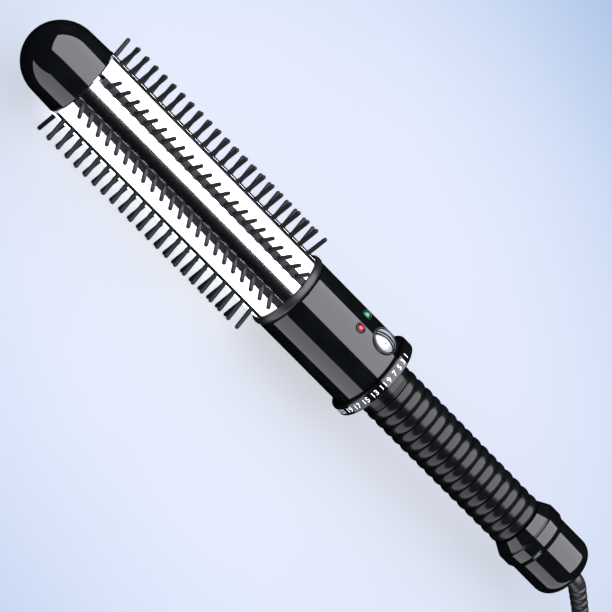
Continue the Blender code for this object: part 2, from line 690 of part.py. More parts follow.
def make_button(control):
    """The button, its inlay and the switch plunger go down together."""
    edge = BUTTON_TOP - BUTTON_CROWN
    crown = (BUTTON_RADIUS**2 + BUTTON_CROWN**2) / (2 * BUTTON_CROWN)
    half = math.asin(BUTTON_RADIUS / crown)
    dome = [
        (BUTTON_TOP - crown * (1 - math.cos(half * s)), crown * math.sin(half * s))
        for s in (1, 0.75, 0.5, 0.25)
    ]
    flange = BUTTON_RADIUS + BUTTON_FLANGE
    flange_top = BUTTON_BOTTOM + BUTTON_FLANGE_THICKNESS
    button = turned_upright(
        "power_button",
        [(BUTTON_BOTTOM, 0), (BUTTON_BOTTOM, flange), (flange_top, flange),
         (flange_top, BUTTON_RADIUS), *dome, (BUTTON_TOP, 0)],
        "silver", parent=control, place=(BUTTON_X, 0, 0),
    )
    groove = INLAY_WIDTH / 2 + GAP
    groove_floor = edge - INLAY_DEPTH
    cutter = block(
        "inlay_groove", (BUTTON_X - 2 * BUTTON_RADIUS, -groove, groove_floor),
        (BUTTON_X + 2 * BUTTON_RADIUS, groove, BUTTON_TOP + MM), parent=control,
    )
    combine(button, cutter, "DIFFERENCE")
    reach = half * 0.97
    outline = [(-crown * math.sin(reach), groove_floor + GAP)]
    outline += [
        (crown * math.sin(a), BUTTON_TOP - crown * (1 - math.cos(a)) - 0.1 * MM)
        for a in [reach * (i / 4 - 1) for i in range(9)]
    ]
    outline += [(crown * math.sin(reach), groove_floor + GAP)]
    extruded(
        "button_inlay", outline, -INLAY_WIDTH / 2, INLAY_WIDTH / 2, "gloss black", "Y", control,
        (BUTTON_X, 0, 0),
    )
    side = SWITCH_SIDE / 2
    body = block(
        "switch_body", (BUTTON_X - side, -side, ON_BOARD), (BUTTON_X + side, side, SWITCH_TOP),
        "satin black", control,
    )
    well = SWITCH_TOP - PLUNGER_DEPTH - BUTTON_TRAVEL - GAP
    bore = turned_upright(
        "plunger_bore",
        [(well, 0), (well, PLUNGER_RADIUS + GAP), (SWITCH_TOP + MM, PLUNGER_RADIUS + GAP),
         (SWITCH_TOP + MM, 0)],
        segments=16, parent=control, place=(BUTTON_X, 0, 0),
    )
    combine(body, bore, "DIFFERENCE")
    low, high = SWITCH_TOP - PLUNGER_DEPTH, BUTTON_BOTTOM - GAP
    turned_upright(
        "switch_plunger", [(low, 0), (low, PLUNGER_RADIUS), (high, PLUNGER_RADIUS), (high, 0)],
        "cream", 16, control, (BUTTON_X, 0, 0),
    )


def sector(inner, outer, start, end, steps):
    return arc((0, 0), outer, start, end, steps) + arc((0, 0), inner, end, start, steps)


def make_dial(axis, control):
    front, back = DIAL_X + GAP, NECK_X
    web = DIAL_X + DIAL_WEB_START
    chamfer = 0.5 * MM
    bore = JOURNAL_RADIUS + GAP
    turned(
        "dial_ring",
        [
            (web, bore), (web, DIAL_RECESS), (front, DIAL_RECESS), (front, DIAL_RADIUS - chamfer),
            (front + chamfer, DIAL_RADIUS), (back - chamfer, DIAL_RADIUS),
            (back, DIAL_RADIUS - chamfer), (back, DIAL_RECESS), (web + DIAL_WEB, DIAL_RECESS),
            (web + DIAL_WEB, bore),
        ],
        "gloss black", FINE, axis,
    )
    track = FLANGE_BACK + GAP
    turned(
        "dial_track",
        [(track, bore), (track, TRACK_RADIUS), (track + TRACK_THICKNESS, TRACK_RADIUS),
         (track + TRACK_THICKNESS, bore)],
        "board", COARSE, axis,
    )
    middle = math.pi / 2
    wiper = sector(
        bore + GAP, TRACK_RADIUS, middle - WIPER_ANGLE / 2, middle + WIPER_ANGLE / 2, 5
    )
    wiper_back = web - GAP
    extruded("dial_wiper", wiper, wiper_back - WIPER_THICKNESS, wiper_back, "brass", parent=control)
    clip_bore = NECK_RADIUS + GAP
    clip = sector(
        clip_bore, clip_bore + CLIP_WIDTH, CLIP_OPENING / 2 - middle,
        2 * math.pi - CLIP_OPENING / 2 - middle, 22,
    )
    clip_front = web + DIAL_WEB + GAP
    extruded("dial_clip", clip, clip_front, clip_front + CLIP_THICKNESS, "steel", parent=axis)


def make_core(axis, control):
    """The chassis: a cradle under the board, a flange, the dial's journal, the neck and the grip's tube."""
    journal_end = DIAL_X + DIAL_WEB_START + DIAL_WEB
    neck_end = GRIP_X - GAP
    core = turned(
        "handle_core",
        [
            (FLANGE_FRONT, CORE_BORE), (FLANGE_FRONT, SPIGOT_RADIUS), (FLANGE_BACK, SPIGOT_RADIUS),
            (FLANGE_BACK, JOURNAL_RADIUS), (journal_end, JOURNAL_RADIUS),
            (journal_end, NECK_RADIUS), (neck_end, NECK_RADIUS), (neck_end, CORE_RADIUS),
            (CORE_END, CORE_RADIUS), (CORE_END, CORE_BORE),
        ],
        "satin black", parent=axis,
    )
    cradle_bore = SPIGOT_RADIUS - CRADLE_WALL
    cradle = turned(
        "cradle_tube",
        [(CRADLE_FRONT, cradle_bore), (CRADLE_FRONT, SPIGOT_RADIUS),
         (FLANGE_FRONT + MM, SPIGOT_RADIUS), (FLANGE_FRONT + MM, cradle_bore)],
        parent=axis,
    )
    rim = BOARD_HEIGHT - GAP
    above = block(
        "cradle_cut", (CRADLE_FRONT - MM, -20 * MM, rim), (FLANGE_FRONT, 20 * MM, 20 * MM),
        parent=control,
    )
    combine(cradle, above, "DIFFERENCE")
    combine(core, cradle, "UNION")
    clearance = BUTTON_RADIUS + BUTTON_FLANGE + GAP
    notch = turned_upright(
        "button_notch",
        [(BUTTON_BOTTOM - BUTTON_TRAVEL - GAP, 0), (BUTTON_BOTTOM - BUTTON_TRAVEL - GAP, clearance),
         (HOUSING_RADIUS, clearance), (HOUSING_RADIUS, 0)],
        parent=control, place=(BUTTON_X, 0, 0),
    )
    combine(core, notch, "DIFFERENCE")
    screw_x = HOUSING_X + BOARD_SCREW_PLACE
    boss_foot = -math.sqrt((SPIGOT_RADIUS - GAP) ** 2 - (BOARD_SCREW_SPREAD + BOSS_RADIUS) ** 2)
    deepest = ON_BOARD - SCREW_LENGTH - MM
    for number, side in enumerate((1, -1)):
        place = (screw_x, side * BOARD_SCREW_SPREAD, 0)
        boss = turned_upright(
            f"boss_{number}",
            [(boss_foot, 0), (boss_foot, BOSS_RADIUS), (rim, BOSS_RADIUS), (rim, 0)],
            segments=12, parent=control, place=place,
        )
        hole = turned_upright(
            f"boss_hole_{number}",
            [(deepest, 0), (deepest, SCREW_RADIUS + GAP), (rim + MM, SCREW_RADIUS + GAP),
             (rim + MM, 0)],
            segments=12, parent=control, place=place,
        )
        combine(core, boss, "UNION")
        combine(core, hole, "DIFFERENCE")


def make_grip(axis):
    """Rounded rings, slightly smaller towards the back, on a sleeve that fits the core."""
    bore = CORE_RADIUS + GAP
    profile = [(GRIP_X, bore)]
    for ring in range(GRIP_RINGS):
        share = (ring + 0.5) / GRIP_RINGS
        crest = GRIP_FRONT_RADIUS + (GRIP_BACK_RADIUS - GRIP_FRONT_RADIUS) * share
        start = GRIP_X + ring * RING_PITCH
        for at in (0.0, 0.3, 0.7):
            swell = math.sin(math.pi * at) ** 0.7 if at else 0.0
            profile.append((start + at * RING_PITCH, crest - RING_DEPTH * (1 - swell)))
    profile.append((CONE_X, GRIP_BACK_RADIUS - RING_DEPTH))
    profile.append((CONE_X, bore))
    turned("grip_sleeve", profile, "satin black", COARSE, axis)


def make_rear(axis):
    bore = CORE_RADIUS + GAP
    cap_bore = END_CAP_RADIUS - END_CAP_WALL
    spigot = cap_bore - GAP
    hub_back = END_CAP_X - GAP
    turned(
        "rear_hub",
        [
            (CONE_X + GAP, bore), (CONE_X + GAP, GRIP_BACK_RADIUS), (HUB_X, HUB_RADIUS),
            (CHAMFER_X, HUB_RADIUS), (hub_back, END_CAP_RADIUS), (hub_back, spigot),
            (hub_back + HUB_SPIGOT, spigot), (hub_back + HUB_SPIGOT, bore),
        ],
        "gloss black", parent=axis,
    )
    corner = arc(
        (END_X - END_CAP_CORNER, END_CAP_RADIUS - END_CAP_CORNER), END_CAP_CORNER,
        math.pi / 2, 0, 6,
    )
    hole = SPINDLE_NECK + GAP
    turned(
        "end_cap",
        [
            (END_CAP_X, cap_bore), (END_CAP_X, END_CAP_RADIUS), *corner, (END_X, hole),
            (CAP_FLOOR_X, hole), (CAP_FLOOR_X, cap_bore - 3 * MM), (CAP_FLOOR_X - 3 * MM, cap_bore),
        ],
        "gloss black", parent=axis,
    )


def make_swivel(axis, swivel):
    carrier_front = CORE_END + GAP
    turned(
        "contact_carrier",
        [(carrier_front, 0), (carrier_front, CORE_RADIUS), (CARRIER_END, CORE_RADIUS),
         (CARRIER_END, 0)],
        "cream", COARSE, axis,
    )
    flange_back = CAP_FLOOR_X - RUNNING_GAP
    flange_front = flange_back - SPINDLE_FLANGE_THICKNESS
    turned(
        "swivel_spindle",
        [(SPINDLE_FRONT, 0), (SPINDLE_FRONT, SPINDLE_RADIUS), (flange_front, SPINDLE_RADIUS),
         (flange_front, SPINDLE_FLANGE), (flange_back, SPINDLE_FLANGE),
         (flange_back, SPINDLE_NECK), (SPINDLE_END, SPINDLE_NECK), (SPINDLE_END, 0)],
        "cream", COARSE, swivel,
    )
    ring_bore = SPINDLE_RADIUS + GAP
    foot_front = CARRIER_END + GAP
    arm = SLIP_RING_RADIUS + GAP
    for number, (line, side) in enumerate((("live", 1), ("neutral", -1))):
        start = SPINDLE_FRONT + MM + number * SLIP_RING_PITCH
        end = start + SLIP_RING_WIDTH
        turned(
            f"slip_ring_{line}",
            [(start, ring_bore), (start, SLIP_RING_RADIUS), (end, SLIP_RING_RADIUS),
             (end, ring_bore)],
            "brass", COARSE, swivel,
        )
        outline = [
            (foot_front, side * arm), (end, side * arm), (end, side * (arm + BLADE_THICKNESS)),
            (foot_front + BLADE_THICKNESS, side * (arm + BLADE_THICKNESS)),
            (foot_front + BLADE_THICKNESS, side * (arm + BLADE_FOOT)),
            (foot_front, side * (arm + BLADE_FOOT)),
        ]
        extruded(
            f"contact_blade_{line}", outline, -BLADE_WIDTH / 2, BLADE_WIDTH / 2, "brass", "Y", axis
        )


def make_leads(control):
    """The wires inside: heater and sensor to the board, and board to the swivel's contacts."""
    tab_end = SPREADER_END + ELECTRODE_TAB_OVERHANG + GAP
    tab_y = (ELECTRODE_WIDTH - ELECTRODE_TAB_WIDTH) / 2
    tab_z = PTC_THICKNESS / 2 + GAP + ELECTRODE_THICKNESS / 2
    thick = 0.8 * MM
    under = BOARD_HEIGHT - GAP - thick
    board_front = CRADLE_FRONT + BOARD_MARGIN
    inner = CORE_BORE / 2
    for line, side, look in (("live", 1, "lead red"), ("neutral", -1, "lead white")):
        route = [
            (tab_end, side * tab_y, side * tab_z),
            (INSULATOR_X + INSULATOR_THICKNESS, side * tab_y, side * tab_z),
            (COLLAR_X, side * tab_y, side * 0.5 * tab_z + MM),
            (HOUSING_X + 4 * MM, side * tab_y, under - MM),
            (board_front + 2 * MM, side * tab_y, under),
            (board_front + 5 * MM, side * tab_y, under),
        ]
        tube(f"heater_lead_{line}", route, thick, look, 4 * MM, parent=control)
        route = [
            (FLANGE_FRONT - 8 * MM, side * inner, under),
            (FLANGE_FRONT - 3 * MM, side * inner, under),
            (NECK_X, side * inner, 0.4 * under),
            (GRIP_X + 20 * MM, side * inner * 0.8, -MM),
            (CONE_X - 20 * MM, side * inner, 0),
            (CORE_END, side * inner, 0),
        ]
        tube(f"supply_lead_{line}", route, thick, look, 7 * MM, parent=control)
    thin = 0.5 * MM
    route = [
        (SPREADER_END + GAP, 0, SENSOR_HEIGHT), (INSULATOR_X + INSULATOR_THICKNESS, 0, SENSOR_HEIGHT),
        (COLLAR_X, 0, SENSOR_HEIGHT - MM), (HOUSING_X + 5 * MM, 0, under - MM),
        (board_front + 2 * MM, 0, BOARD_HEIGHT - GAP - thin),
        (board_front + 5 * MM, 0, BOARD_HEIGHT - GAP - thin),
    ]
    tube("sensor_lead", route, thin, "lead white", 4 * MM, parent=control)


def boot_end():
    """Where the strain relief's centre line ends, from the swivel's centre on the axis."""
    x = END_X + ELBOW_START + ELBOW_RADIUS * math.sin(ELBOW_ANGLE)
    z = -ELBOW_RADIUS * (1 - math.cos(ELBOW_ANGLE))
    return x + BOOT_LENGTH * math.cos(ELBOW_ANGLE), z - BOOT_LENGTH * math.sin(ELBOW_ANGLE)


def make_strain_relief(swivel):
    """A smooth elbow out of the cap's centre, then a tapered ribbed boot."""
    elbow = END_X + ELBOW_START
    stations = [(SPINDLE_END + GAP, 0.0, 0.0, SPINDLE_NECK), (elbow, 0.0, 0.0, SPINDLE_NECK)]
    for i in range(1, 5):
        angle = ELBOW_ANGLE * i / 4
        stations.append(
            (elbow + ELBOW_RADIUS * math.sin(angle), -ELBOW_RADIUS * (1 - math.cos(angle)), angle,
             SPINDLE_NECK)
        )
    end_x, end_z = boot_end()
    pitch = BOOT_LENGTH / (BOOT_RIBS + 0.5)
    for rib in range(BOOT_RIBS + 1):
        for at, rise in ((0.12, 0.0), (0.4, 0.0), (0.5, 1.0), (0.98, 1.0)):
            along = (rib + at) * pitch
            if along > BOOT_LENGTH:
                continue
            share = along / BOOT_LENGTH
            crest = BOOT_RIB_RADIUS + (BOOT_END_RADIUS - BOOT_RIB_RADIUS) * share
            radius = crest - BOOT_GROOVE * (1 - rise)
            back = BOOT_LENGTH - along
            stations.append(
                (end_x - back * math.cos(ELBOW_ANGLE), end_z + back * math.sin(ELBOW_ANGLE),
                 ELBOW_ANGLE, radius)
            )
    rings = []
    for x, z, angle, radius in stations:
        ring = [(radius * math.cos(a), radius * math.sin(a)) for a in
                [2 * math.pi * i / 12 for i in range(12)]]
        rings.append([(x + up * math.sin(angle), side, z + up * math.cos(angle)) for side, up in ring])
    lofted("strain_relief", rings, "satin black", swivel)


def hank_outline():
    """The hank's outer shape: a long loop drawn in at its waist, with a square end for each free run."""
    half = HANK_RUN / 2
    side = []
    for i in range(13):
        x = -half + HANK_RUN * i / 12
        side.append((x, -HANK_EDGE + WAIST_DEPTH * math.exp(-((x / WAIST_SPREAD) ** 2))))
    free = math.asin((STRAND_Y - CORD_RADIUS) / HANK_EDGE)
    far = arc((half, 0), HANK_EDGE, -free, math.pi / 2, 10)
    near = [(-x, y) for x, y in reversed(far)]
    return [
        (-half - STUB, -HANK_EDGE), *side, (half + STUB, -HANK_EDGE), *far,
        *[(x, -y) for x, y in reversed(side)][1:-1], *near,
    ]


def tie_ring(half_width, low, high, corner):
    ring = []
    for y, z, start in (
        (half_width - corner, high - corner, 0.0), (corner - half_width, high - corner, 0.5),
        (corner - half_width, low + corner, 1.0), (half_width - corner, low + corner, 1.5),
    ):
        ring += arc((y, z), corner, start * math.pi, (start + 0.5) * math.pi, 3)
    return ring


def make_hank(swivel):
    """The stored part of the cord, and the tie round its waist."""
    middle = HANK_X + HANK_RUN / 2
    place = (middle, 0, -AXIS_Z)
    hank = extruded("cord_hank", hank_outline(), 0, HANK_TOP, "cord black", "Z", swivel, place)
    groove = TIE_THICKNESS + GAP + 0.1 * MM
    reach = TIE_WIDTH / 2 + GAP
    cutter = block(
        "tie_groove", (middle - reach, -2 * HANK_EDGE, -AXIS_Z - MM),
        (middle + reach, 2 * HANK_EDGE, groove - AXIS_Z), parent=swivel,
    )
    combine(hank, cutter, "DIFFERENCE")
    inner_width = HANK_EDGE - WAIST_DEPTH * math.exp(-((reach / WAIST_SPREAD) ** 2)) + GAP
    inner = tie_ring(inner_width, groove - GAP, HANK_TOP + GAP, TIE_CORNER - TIE_THICKNESS)
    outer = tie_ring(
        inner_width + TIE_THICKNESS, groove - GAP - TIE_THICKNESS, HANK_TOP + GAP + TIE_THICKNESS,
        TIE_CORNER,
    )
    bm = bmesh.new()
    loops = []
    for ring, x in ((outer, -1), (outer, 1), (inner, 1), (inner, -1)):
        loops.append([bm.verts.new((x * TIE_WIDTH / 2, y, z)) for y, z in ring])
    for loop, following in zip(loops, loops[1:] + loops[:1]):
        for i in range(len(loop)):
            j = (i + 1) % len(loop)
            bm.faces.new((loop[i], loop[j], following[j], following[i]))
    new_piece("cord_tie", bm, "satin black", swivel, place)


def make_cord(swivel):
    """The runs of cord that aren't folded: from the boot to the hank, and from the hank to the plug."""
    end_x, end_z = boot_end()
    down = Vector((math.cos(ELBOW_ANGLE), 0, -math.sin(ELBOW_ANGLE)))
    start = Vector((end_x, 0, end_z)) + down * 2 * GAP
    floor = CORD_RADIUS + 0.1 * MM - AXIS_Z
    route = [start, start + down * 2 * MM, start + Vector((7 * MM, 0, -3.9 * MM))]
    for along, side in CORD_BEND:
        route.append((start.x + along, -side, floor))
    route.append((HANK_X - STUB - GAP, -STRAND_Y, floor))
    tube("power_cord", route, CORD_RADIUS, "cord black", 9 * MM, 2, swivel)
    exit_x = HANK_X + HANK_RUN + STUB + GAP
    top = HANK_TOP - CORD_RADIUS - AXIS_Z
    plug = Vector((PLUG_X - GAP, -PLUG_OFFSET, PLUG_HALF_HEIGHT - AXIS_Z))
    route = [
        (exit_x, -STRAND_Y, top), (exit_x + 5 * MM, -STRAND_Y - 0.1 * MM, top),
        (exit_x + 13 * MM, 1.2 * MM - STRAND_Y, top - 0.8 * MM),
        ((exit_x + plug.x) / 2, (plug.y - STRAND_Y) / 2, (top + plug.z) / 2),
        plug - Vector((10 * MM, 0.9 * MM, -0.7 * MM)), plug,
    ]
    tube("plug_lead", route, CORD_RADIUS, "cord black", 9 * MM, 2, swivel)


def make_plug(swivel):
    """A flat moulded two-pin plug, lying on its side."""
    def section(x, half_width, half_height, squareness):
        ring = []
        for i in range(20):
            a = 2 * math.pi * i / 20
            c, s = math.cos(a), math.sin(a)
            ring.append(
                (x, math.copysign(abs(c) ** squareness, c) * half_width,
                 math.copysign(abs(s) ** squareness, s) * half_height)
            )
        return ring

    boot, body = PLUG_BOOT_LENGTH, PLUG_BODY_LENGTH
    rings = [
        section(0, 3.3 * MM, 3.3 * MM, 1.0), section(boot * 0.9, 4.2 * MM, 4.2 * MM, 1.0),
        section(boot + 2 * MM, 7.6 * MM, 5.6 * MM, 0.8),
        section(boot + 6 * MM, PLUG_HALF_WIDTH - MM, PLUG_HALF_HEIGHT - 0.4 * MM, 0.55),
        section(boot + 9 * MM, PLUG_HALF_WIDTH, PLUG_HALF_HEIGHT, 0.5),
        section(boot + body - MM, PLUG_HALF_WIDTH, PLUG_HALF_HEIGHT, 0.5),
        section(boot + body, PLUG_HALF_WIDTH - MM, PLUG_HALF_HEIGHT - MM, 0.5),
    ]
    place = (PLUG_X, -PLUG_OFFSET, PLUG_HALF_HEIGHT - AXIS_Z)
    lofted("plug_body", rings, "satin black", swivel, place)
    front = PLUG_X + boot + body + GAP
    for line, side in (("live", 1), ("neutral", -1)):
        y = side * PRONG_SPACING / 2 - PLUG_OFFSET
        z = PLUG_HALF_HEIGHT - AXIS_Z
        half_thick, half_wide = PRONG_THICKNESS / 2, PRONG_WIDTH / 2
        tip = 1.2 * MM
        outline = [
            (front, z - half_wide), (front + PRONG_LENGTH - tip, z - half_wide),
            (front + PRONG_LENGTH, z - half_wide + tip), (front + PRONG_LENGTH, z + half_wide - tip),
            (front + PRONG_LENGTH - tip, z + half_wide), (front, z + half_wide),
        ]
        extruded(f"plug_prong_{line}", outline, y - half_thick, y + half_thick, "brass", "Y", swivel)


def main():
    clear_scene()
    axis = new_frame("brush_axis", (0, 0, AXIS_Z))
    control = new_frame("control_plane", (0, 0, 0), -CONTROL_TILT, axis)
    swivel = new_frame("swivel_axis", (0, 0, 0), 0.0, axis)
    make_tip(axis)
    make_barrel(axis)
    for row in range(ROWS):
        make_strip(axis, row, {7: STRIP_STEP, 6: -STRIP_STEP}.get(row, 0.0))
    make_heater(control)
    make_collar(axis)
    make_housing(axis, control)
    make_board(control)
    make_leds(control)
    make_button(control)
    make_dial(axis, control)
    make_core(axis, control)
    make_grip(axis)
    make_rear(axis)
    make_swivel(axis, swivel)
    make_leads(control)
    make_strain_relief(swivel)
    make_cord(swivel)
    make_hank(swivel)
    make_plug(swivel)


main()
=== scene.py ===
"""Heated hair-curling brush: finished surfaces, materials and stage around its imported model."""

import json
import math

import bpy
from bpy.props import FloatProperty, IntProperty, PointerProperty, StringProperty
from mathutils import Matrix, Vector


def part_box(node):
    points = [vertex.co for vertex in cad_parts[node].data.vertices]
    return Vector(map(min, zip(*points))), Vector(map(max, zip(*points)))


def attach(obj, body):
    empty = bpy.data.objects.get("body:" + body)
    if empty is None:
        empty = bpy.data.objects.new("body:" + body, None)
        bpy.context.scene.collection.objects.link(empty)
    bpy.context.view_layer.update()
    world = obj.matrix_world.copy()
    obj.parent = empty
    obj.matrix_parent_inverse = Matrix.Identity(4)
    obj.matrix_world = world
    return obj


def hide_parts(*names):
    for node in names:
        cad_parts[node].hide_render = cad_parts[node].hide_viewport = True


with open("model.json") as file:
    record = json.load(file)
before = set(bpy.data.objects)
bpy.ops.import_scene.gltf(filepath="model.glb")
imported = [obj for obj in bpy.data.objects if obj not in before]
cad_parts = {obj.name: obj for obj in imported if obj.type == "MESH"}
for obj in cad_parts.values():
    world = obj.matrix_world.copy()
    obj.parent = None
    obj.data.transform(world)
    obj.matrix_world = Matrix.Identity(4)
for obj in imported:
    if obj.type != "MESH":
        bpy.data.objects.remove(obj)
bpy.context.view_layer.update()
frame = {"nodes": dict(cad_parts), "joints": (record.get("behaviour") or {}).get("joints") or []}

bl_info = {
    "name": "Hair-curling brush",
    "version": (1, 0, 0),
    "blender": (4, 5, 0),
    "location": "3D View > Sidebar > Curling brush",
    "description": "Models the finished surfaces of a heated curling brush around its frame",
    "category": "Object",
}

MM = 0.001
AXIS_Z = sum(corner.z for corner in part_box("barrel")) / 2
TIP_FRONT, TIP_BACK = (corner.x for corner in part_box("tip_cap"))
BARREL_FRONT, BARREL_BACK = (corner.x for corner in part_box("barrel"))
HOUSING_FRONT, HOUSING_BACK = (corner.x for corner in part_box("housing"))
DIAL_FRONT, DIAL_BACK = (corner.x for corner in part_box("dial_ring"))
GRIP_FRONT, GRIP_BACK = (corner.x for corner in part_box("grip_sleeve"))
CAP_FRONT, CAP_BACK = (corner.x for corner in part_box("end_cap"))
BUTTON_X = sum(corner.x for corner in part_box("power_button")) / 2
LED_X = sum(corner.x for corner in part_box("led_green")) / 2
TIE_X = sum(corner.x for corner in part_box("cord_tie")) / 2
AXIS_POINT = Vector((0, 0, AXIS_Z))
ROUND_STEPS = 120  # sides of the large turned pieces
SMALL_STEPS = 48  # sides of the small ones
FUSE = 0.0001 * MM  # points closer than this are one while an outline is drawn
MERGE = 0.001 * MM  # and closer than this in a finished mesh


# ---------------------------------------------------------------- sizes and colours

def length(name, value, description):
    return FloatProperty(name=name, description=description, default=value, unit="LENGTH", precision=5)


def colour(name, value, description):
    return StringProperty(name=name, description=description, default=value)


class BrushSizes(bpy.types.PropertyGroup):
    tip_radius: length("Tip radius", 15.7 * MM, "Radius of the cool tip at the barrel")
    tip_shoulder: length("Tip shoulder", 15.4 * MM, "Radius of the cool tip where its nose begins")
    tip_straight: length("Tip straight part", 10.4 * MM, "Length of the tip behind its nose")
    barrel_radius: length("Barrel radius", 15.875 * MM, "Radius of the one and a quarter inch barrel")
    barrel_bore: length("Barrel bore", 12.2 * MM, "Inner radius of the barrel")
    slot_mouth: length("Slot mouth", 3.2 * MM, "Opening of the slot that holds a bristle strip")
    slot_width: length("Slot width", 5.2 * MM, "Inner width of a strip's slot")
    slot_lip: length("Slot lip", 1.35 * MM, "Thickness of the lips over a strip's foot")
    slot_depth: length("Slot depth", 2.8 * MM, "Depth of a strip's slot")
    pin_reach: length("Pin reach", 26.0 * MM, "Distance of the pins' ends from the axis")
    pin_base: length("Pin base radius", 0.95 * MM, "Radius of a pin at the strip")
    pin_end: length("Pin end radius", 0.88 * MM, "Radius of a pin at its end")
    pin_pitch: length("Pin pitch", 4.88 * MM, "Distance between two pins")
    pin_count: IntProperty(name="Pins in a row", description="Pins on one strip", default=22)
    bead_radius: length("Collar bead", 17.1 * MM, "Radius of the bead between barrel and housing")
    housing_radius: length("Housing radius", 16.6 * MM, "Radius of the control housing")
    housing_wall: length("Housing wall", 1.8 * MM, "Wall of the control housing")
    dial_radius: length("Dial radius", 18.8 * MM, "Radius of the heat dial")
    numeral_height: length("Numeral height", 2.3 * MM, "Height of the dial's numbers")
    button_radius: length("Button radius", 4.8 * MM, "Radius of the power button")
    led_radius: length("Indicator radius", 1.5 * MM, "Radius of an indicator's lens")
    neck_radius: length("Neck radius", 11.35 * MM, "Radius of the neck behind the dial")
    grip_front: length("Grip radius, front", 11.9 * MM, "Radius of the first grip ring")
    grip_back: length("Grip radius, back", 11.5 * MM, "Radius of the last grip ring")
    ring_depth: length("Ring depth", 1.35 * MM, "Depth of the valleys between grip rings")
    ring_count: IntProperty(name="Grip rings", description="Rounded rings on the grip", default=16)
    hub_radius: length("Hub radius", 14.0 * MM, "Radius of the ring behind the grip")
    cap_radius: length("End cap radius", 13.1 * MM, "Radius of the swivel's cap")
    cap_corner: length("End cap corner", 6.5 * MM, "Rounding of the cap's closed end")
    cord_diameter: length("Cord diameter", 5.2 * MM, "Diameter of the mains cord")
    cord_length: length("Cord length", 1.8, "Length of the mains cord from relief to plug")


class BrushColours(bpy.types.PropertyGroup):
    shell: colour("Shell", "#060708", "Gloss black ABS of tip, housing, dial and cap")
    grip: colour("Grip", "#08090a", "Black polypropylene of the grip")
    collar: colour("Collar", "#0f0f11", "Black glass-filled nylon of the front collar")
    pins: colour("Pins", "#101112", "Near-black nylon of the bristle strips")
    chrome: colour("Chrome", "#f2f3f5", "Plated barrel")
    silver: colour("Silver", "#96989a", "Metallised power button")
    green: colour("Green lens", "#125f32", "Lens of the ready light")
    red: colour("Red lens", "#8f0d17", "Lens of the power light")
    ink: colour("Ink", "#eceef0", "Printed numbers")
    cord: colour("Cord", "#141416", "PVC of cord, plug and strain relief")
    floor: colour("Floor", "#a9adb3", "Paper floor")


def sizes():
    return bpy.context.scene.brush_sizes


def colours():
    return bpy.context.scene.brush_colours


# ---------------------------------------------------------------- materials

def linear(code):
    """An sRGB hex colour as the linear values that Blender's sockets take."""
    channels = [int(code[i:i + 2], 16) / 255 for i in (1, 3, 5)]
    return (*[c / 12.92 if c <= 0.04045 else ((c + 0.055) / 1.055) ** 2.4 for c in channels], 1.0)


def shade(code, factor):
    red, green, blue, alpha = linear(code)
    return (min(red * factor, 1.0), min(green * factor, 1.0), min(blue * factor, 1.0), alpha)


def add(tree, kind, inputs=None, **settings):
    """Adds a node; each input is a value, or the socket that it's linked from."""
    node = tree.nodes.new(kind)
    for name, value in settings.items():
        setattr(node, name, value)
    for key, value in (inputs or {}).items():
        if isinstance(value, bpy.types.NodeSocket):
            tree.links.new(value, node.inputs[key])
        else:
            node.inputs[key].default_value = value
    return node


def ramp(tree, factor, stops):
    node = add(tree, "ShaderNodeValToRGB", {0: factor})
    while len(node.color_ramp.elements) < len(stops):
        node.color_ramp.elements.new(0.5)
    for element, (place, value) in zip(node.color_ramp.elements, stops):
        element.position = place
        element.color = value
    return node.outputs["Color"]


def tone(tree, factor, code, dark, light, start=0.3, end=0.7):
    """A colour that goes from a darker to a lighter shade of itself along a pattern."""
    return ramp(tree, factor, [(start, shade(code, dark)), (end, shade(code, light))])


def dress(tree, shader, hue, rough=None):
    tree.links.new(hue, shader.inputs["Base Color"])
    if rough:
        tree.links.new(rough, shader.inputs["Roughness"])


def start_material(name, **shader):
    """A new material's tree, its shader with the constant values set, and a place in object space."""
    made = bpy.data.materials.new(name)
    made.use_nodes = True
    tree = made.node_tree
    principled = tree.nodes["Principled BSDF"]
    for key, value in shader.items():
        principled.inputs[key.replace("_", " ")].default_value = value
    place = add(tree, "ShaderNodeTexCoord").outputs["Object"]
    return made, tree, principled, place


def noise(tree, place, grain, detail=3.0, stretch=(1, 1, 1), roughness=0.55):
    """Noise whose spots are about grain millimetres wide, drawn out along an axis by stretch."""
    scaled = add(
        tree, "ShaderNodeMapping", {"Vector": place, "Scale": [1 / (grain * MM * s) for s in stretch]}
    ).outputs["Vector"]
    return add(
        tree, "ShaderNodeTexNoise",
        {"Vector": scaled, "Scale": 1.0, "Detail": detail, "Roughness": roughness},
    ).outputs["Fac"]


def spread(tree, factor, low, high, start=0.3, end=0.7):
    return add(
        tree, "ShaderNodeMapRange",
        {"Value": factor, "From Min": start, "From Max": end, "To Min": low, "To Max": high},
    ).outputs["Result"]


def bump(tree, shader, height, depth, strength=1.0):
    node = add(
        tree, "ShaderNodeBump", {"Height": height, "Strength": strength, "Distance": depth * MM}
    )
    tree.links.new(node.outputs["Normal"], shader.inputs["Normal"])


def moulded(name, code, rough, grain=0.6, depth=0.004, drift=0.25, stretch=(1, 1, 1), **shader):
    """A moulded or fired surface: its tone drifts over centimetres and its gloss over a fine grain."""
    made, tree, principled, place = start_material(name, **shader)
    slow = noise(tree, place, 14.0, 2.0)
    fine = noise(tree, place, grain, 4.0, stretch)
    gloss = spread(tree, fine, rough * 0.8, rough * 1.25)
    dress(tree, principled, tone(tree, slow, code, 1 - drift, 1 + drift), gloss)
    bump(tree, principled, fine, depth)
    return made


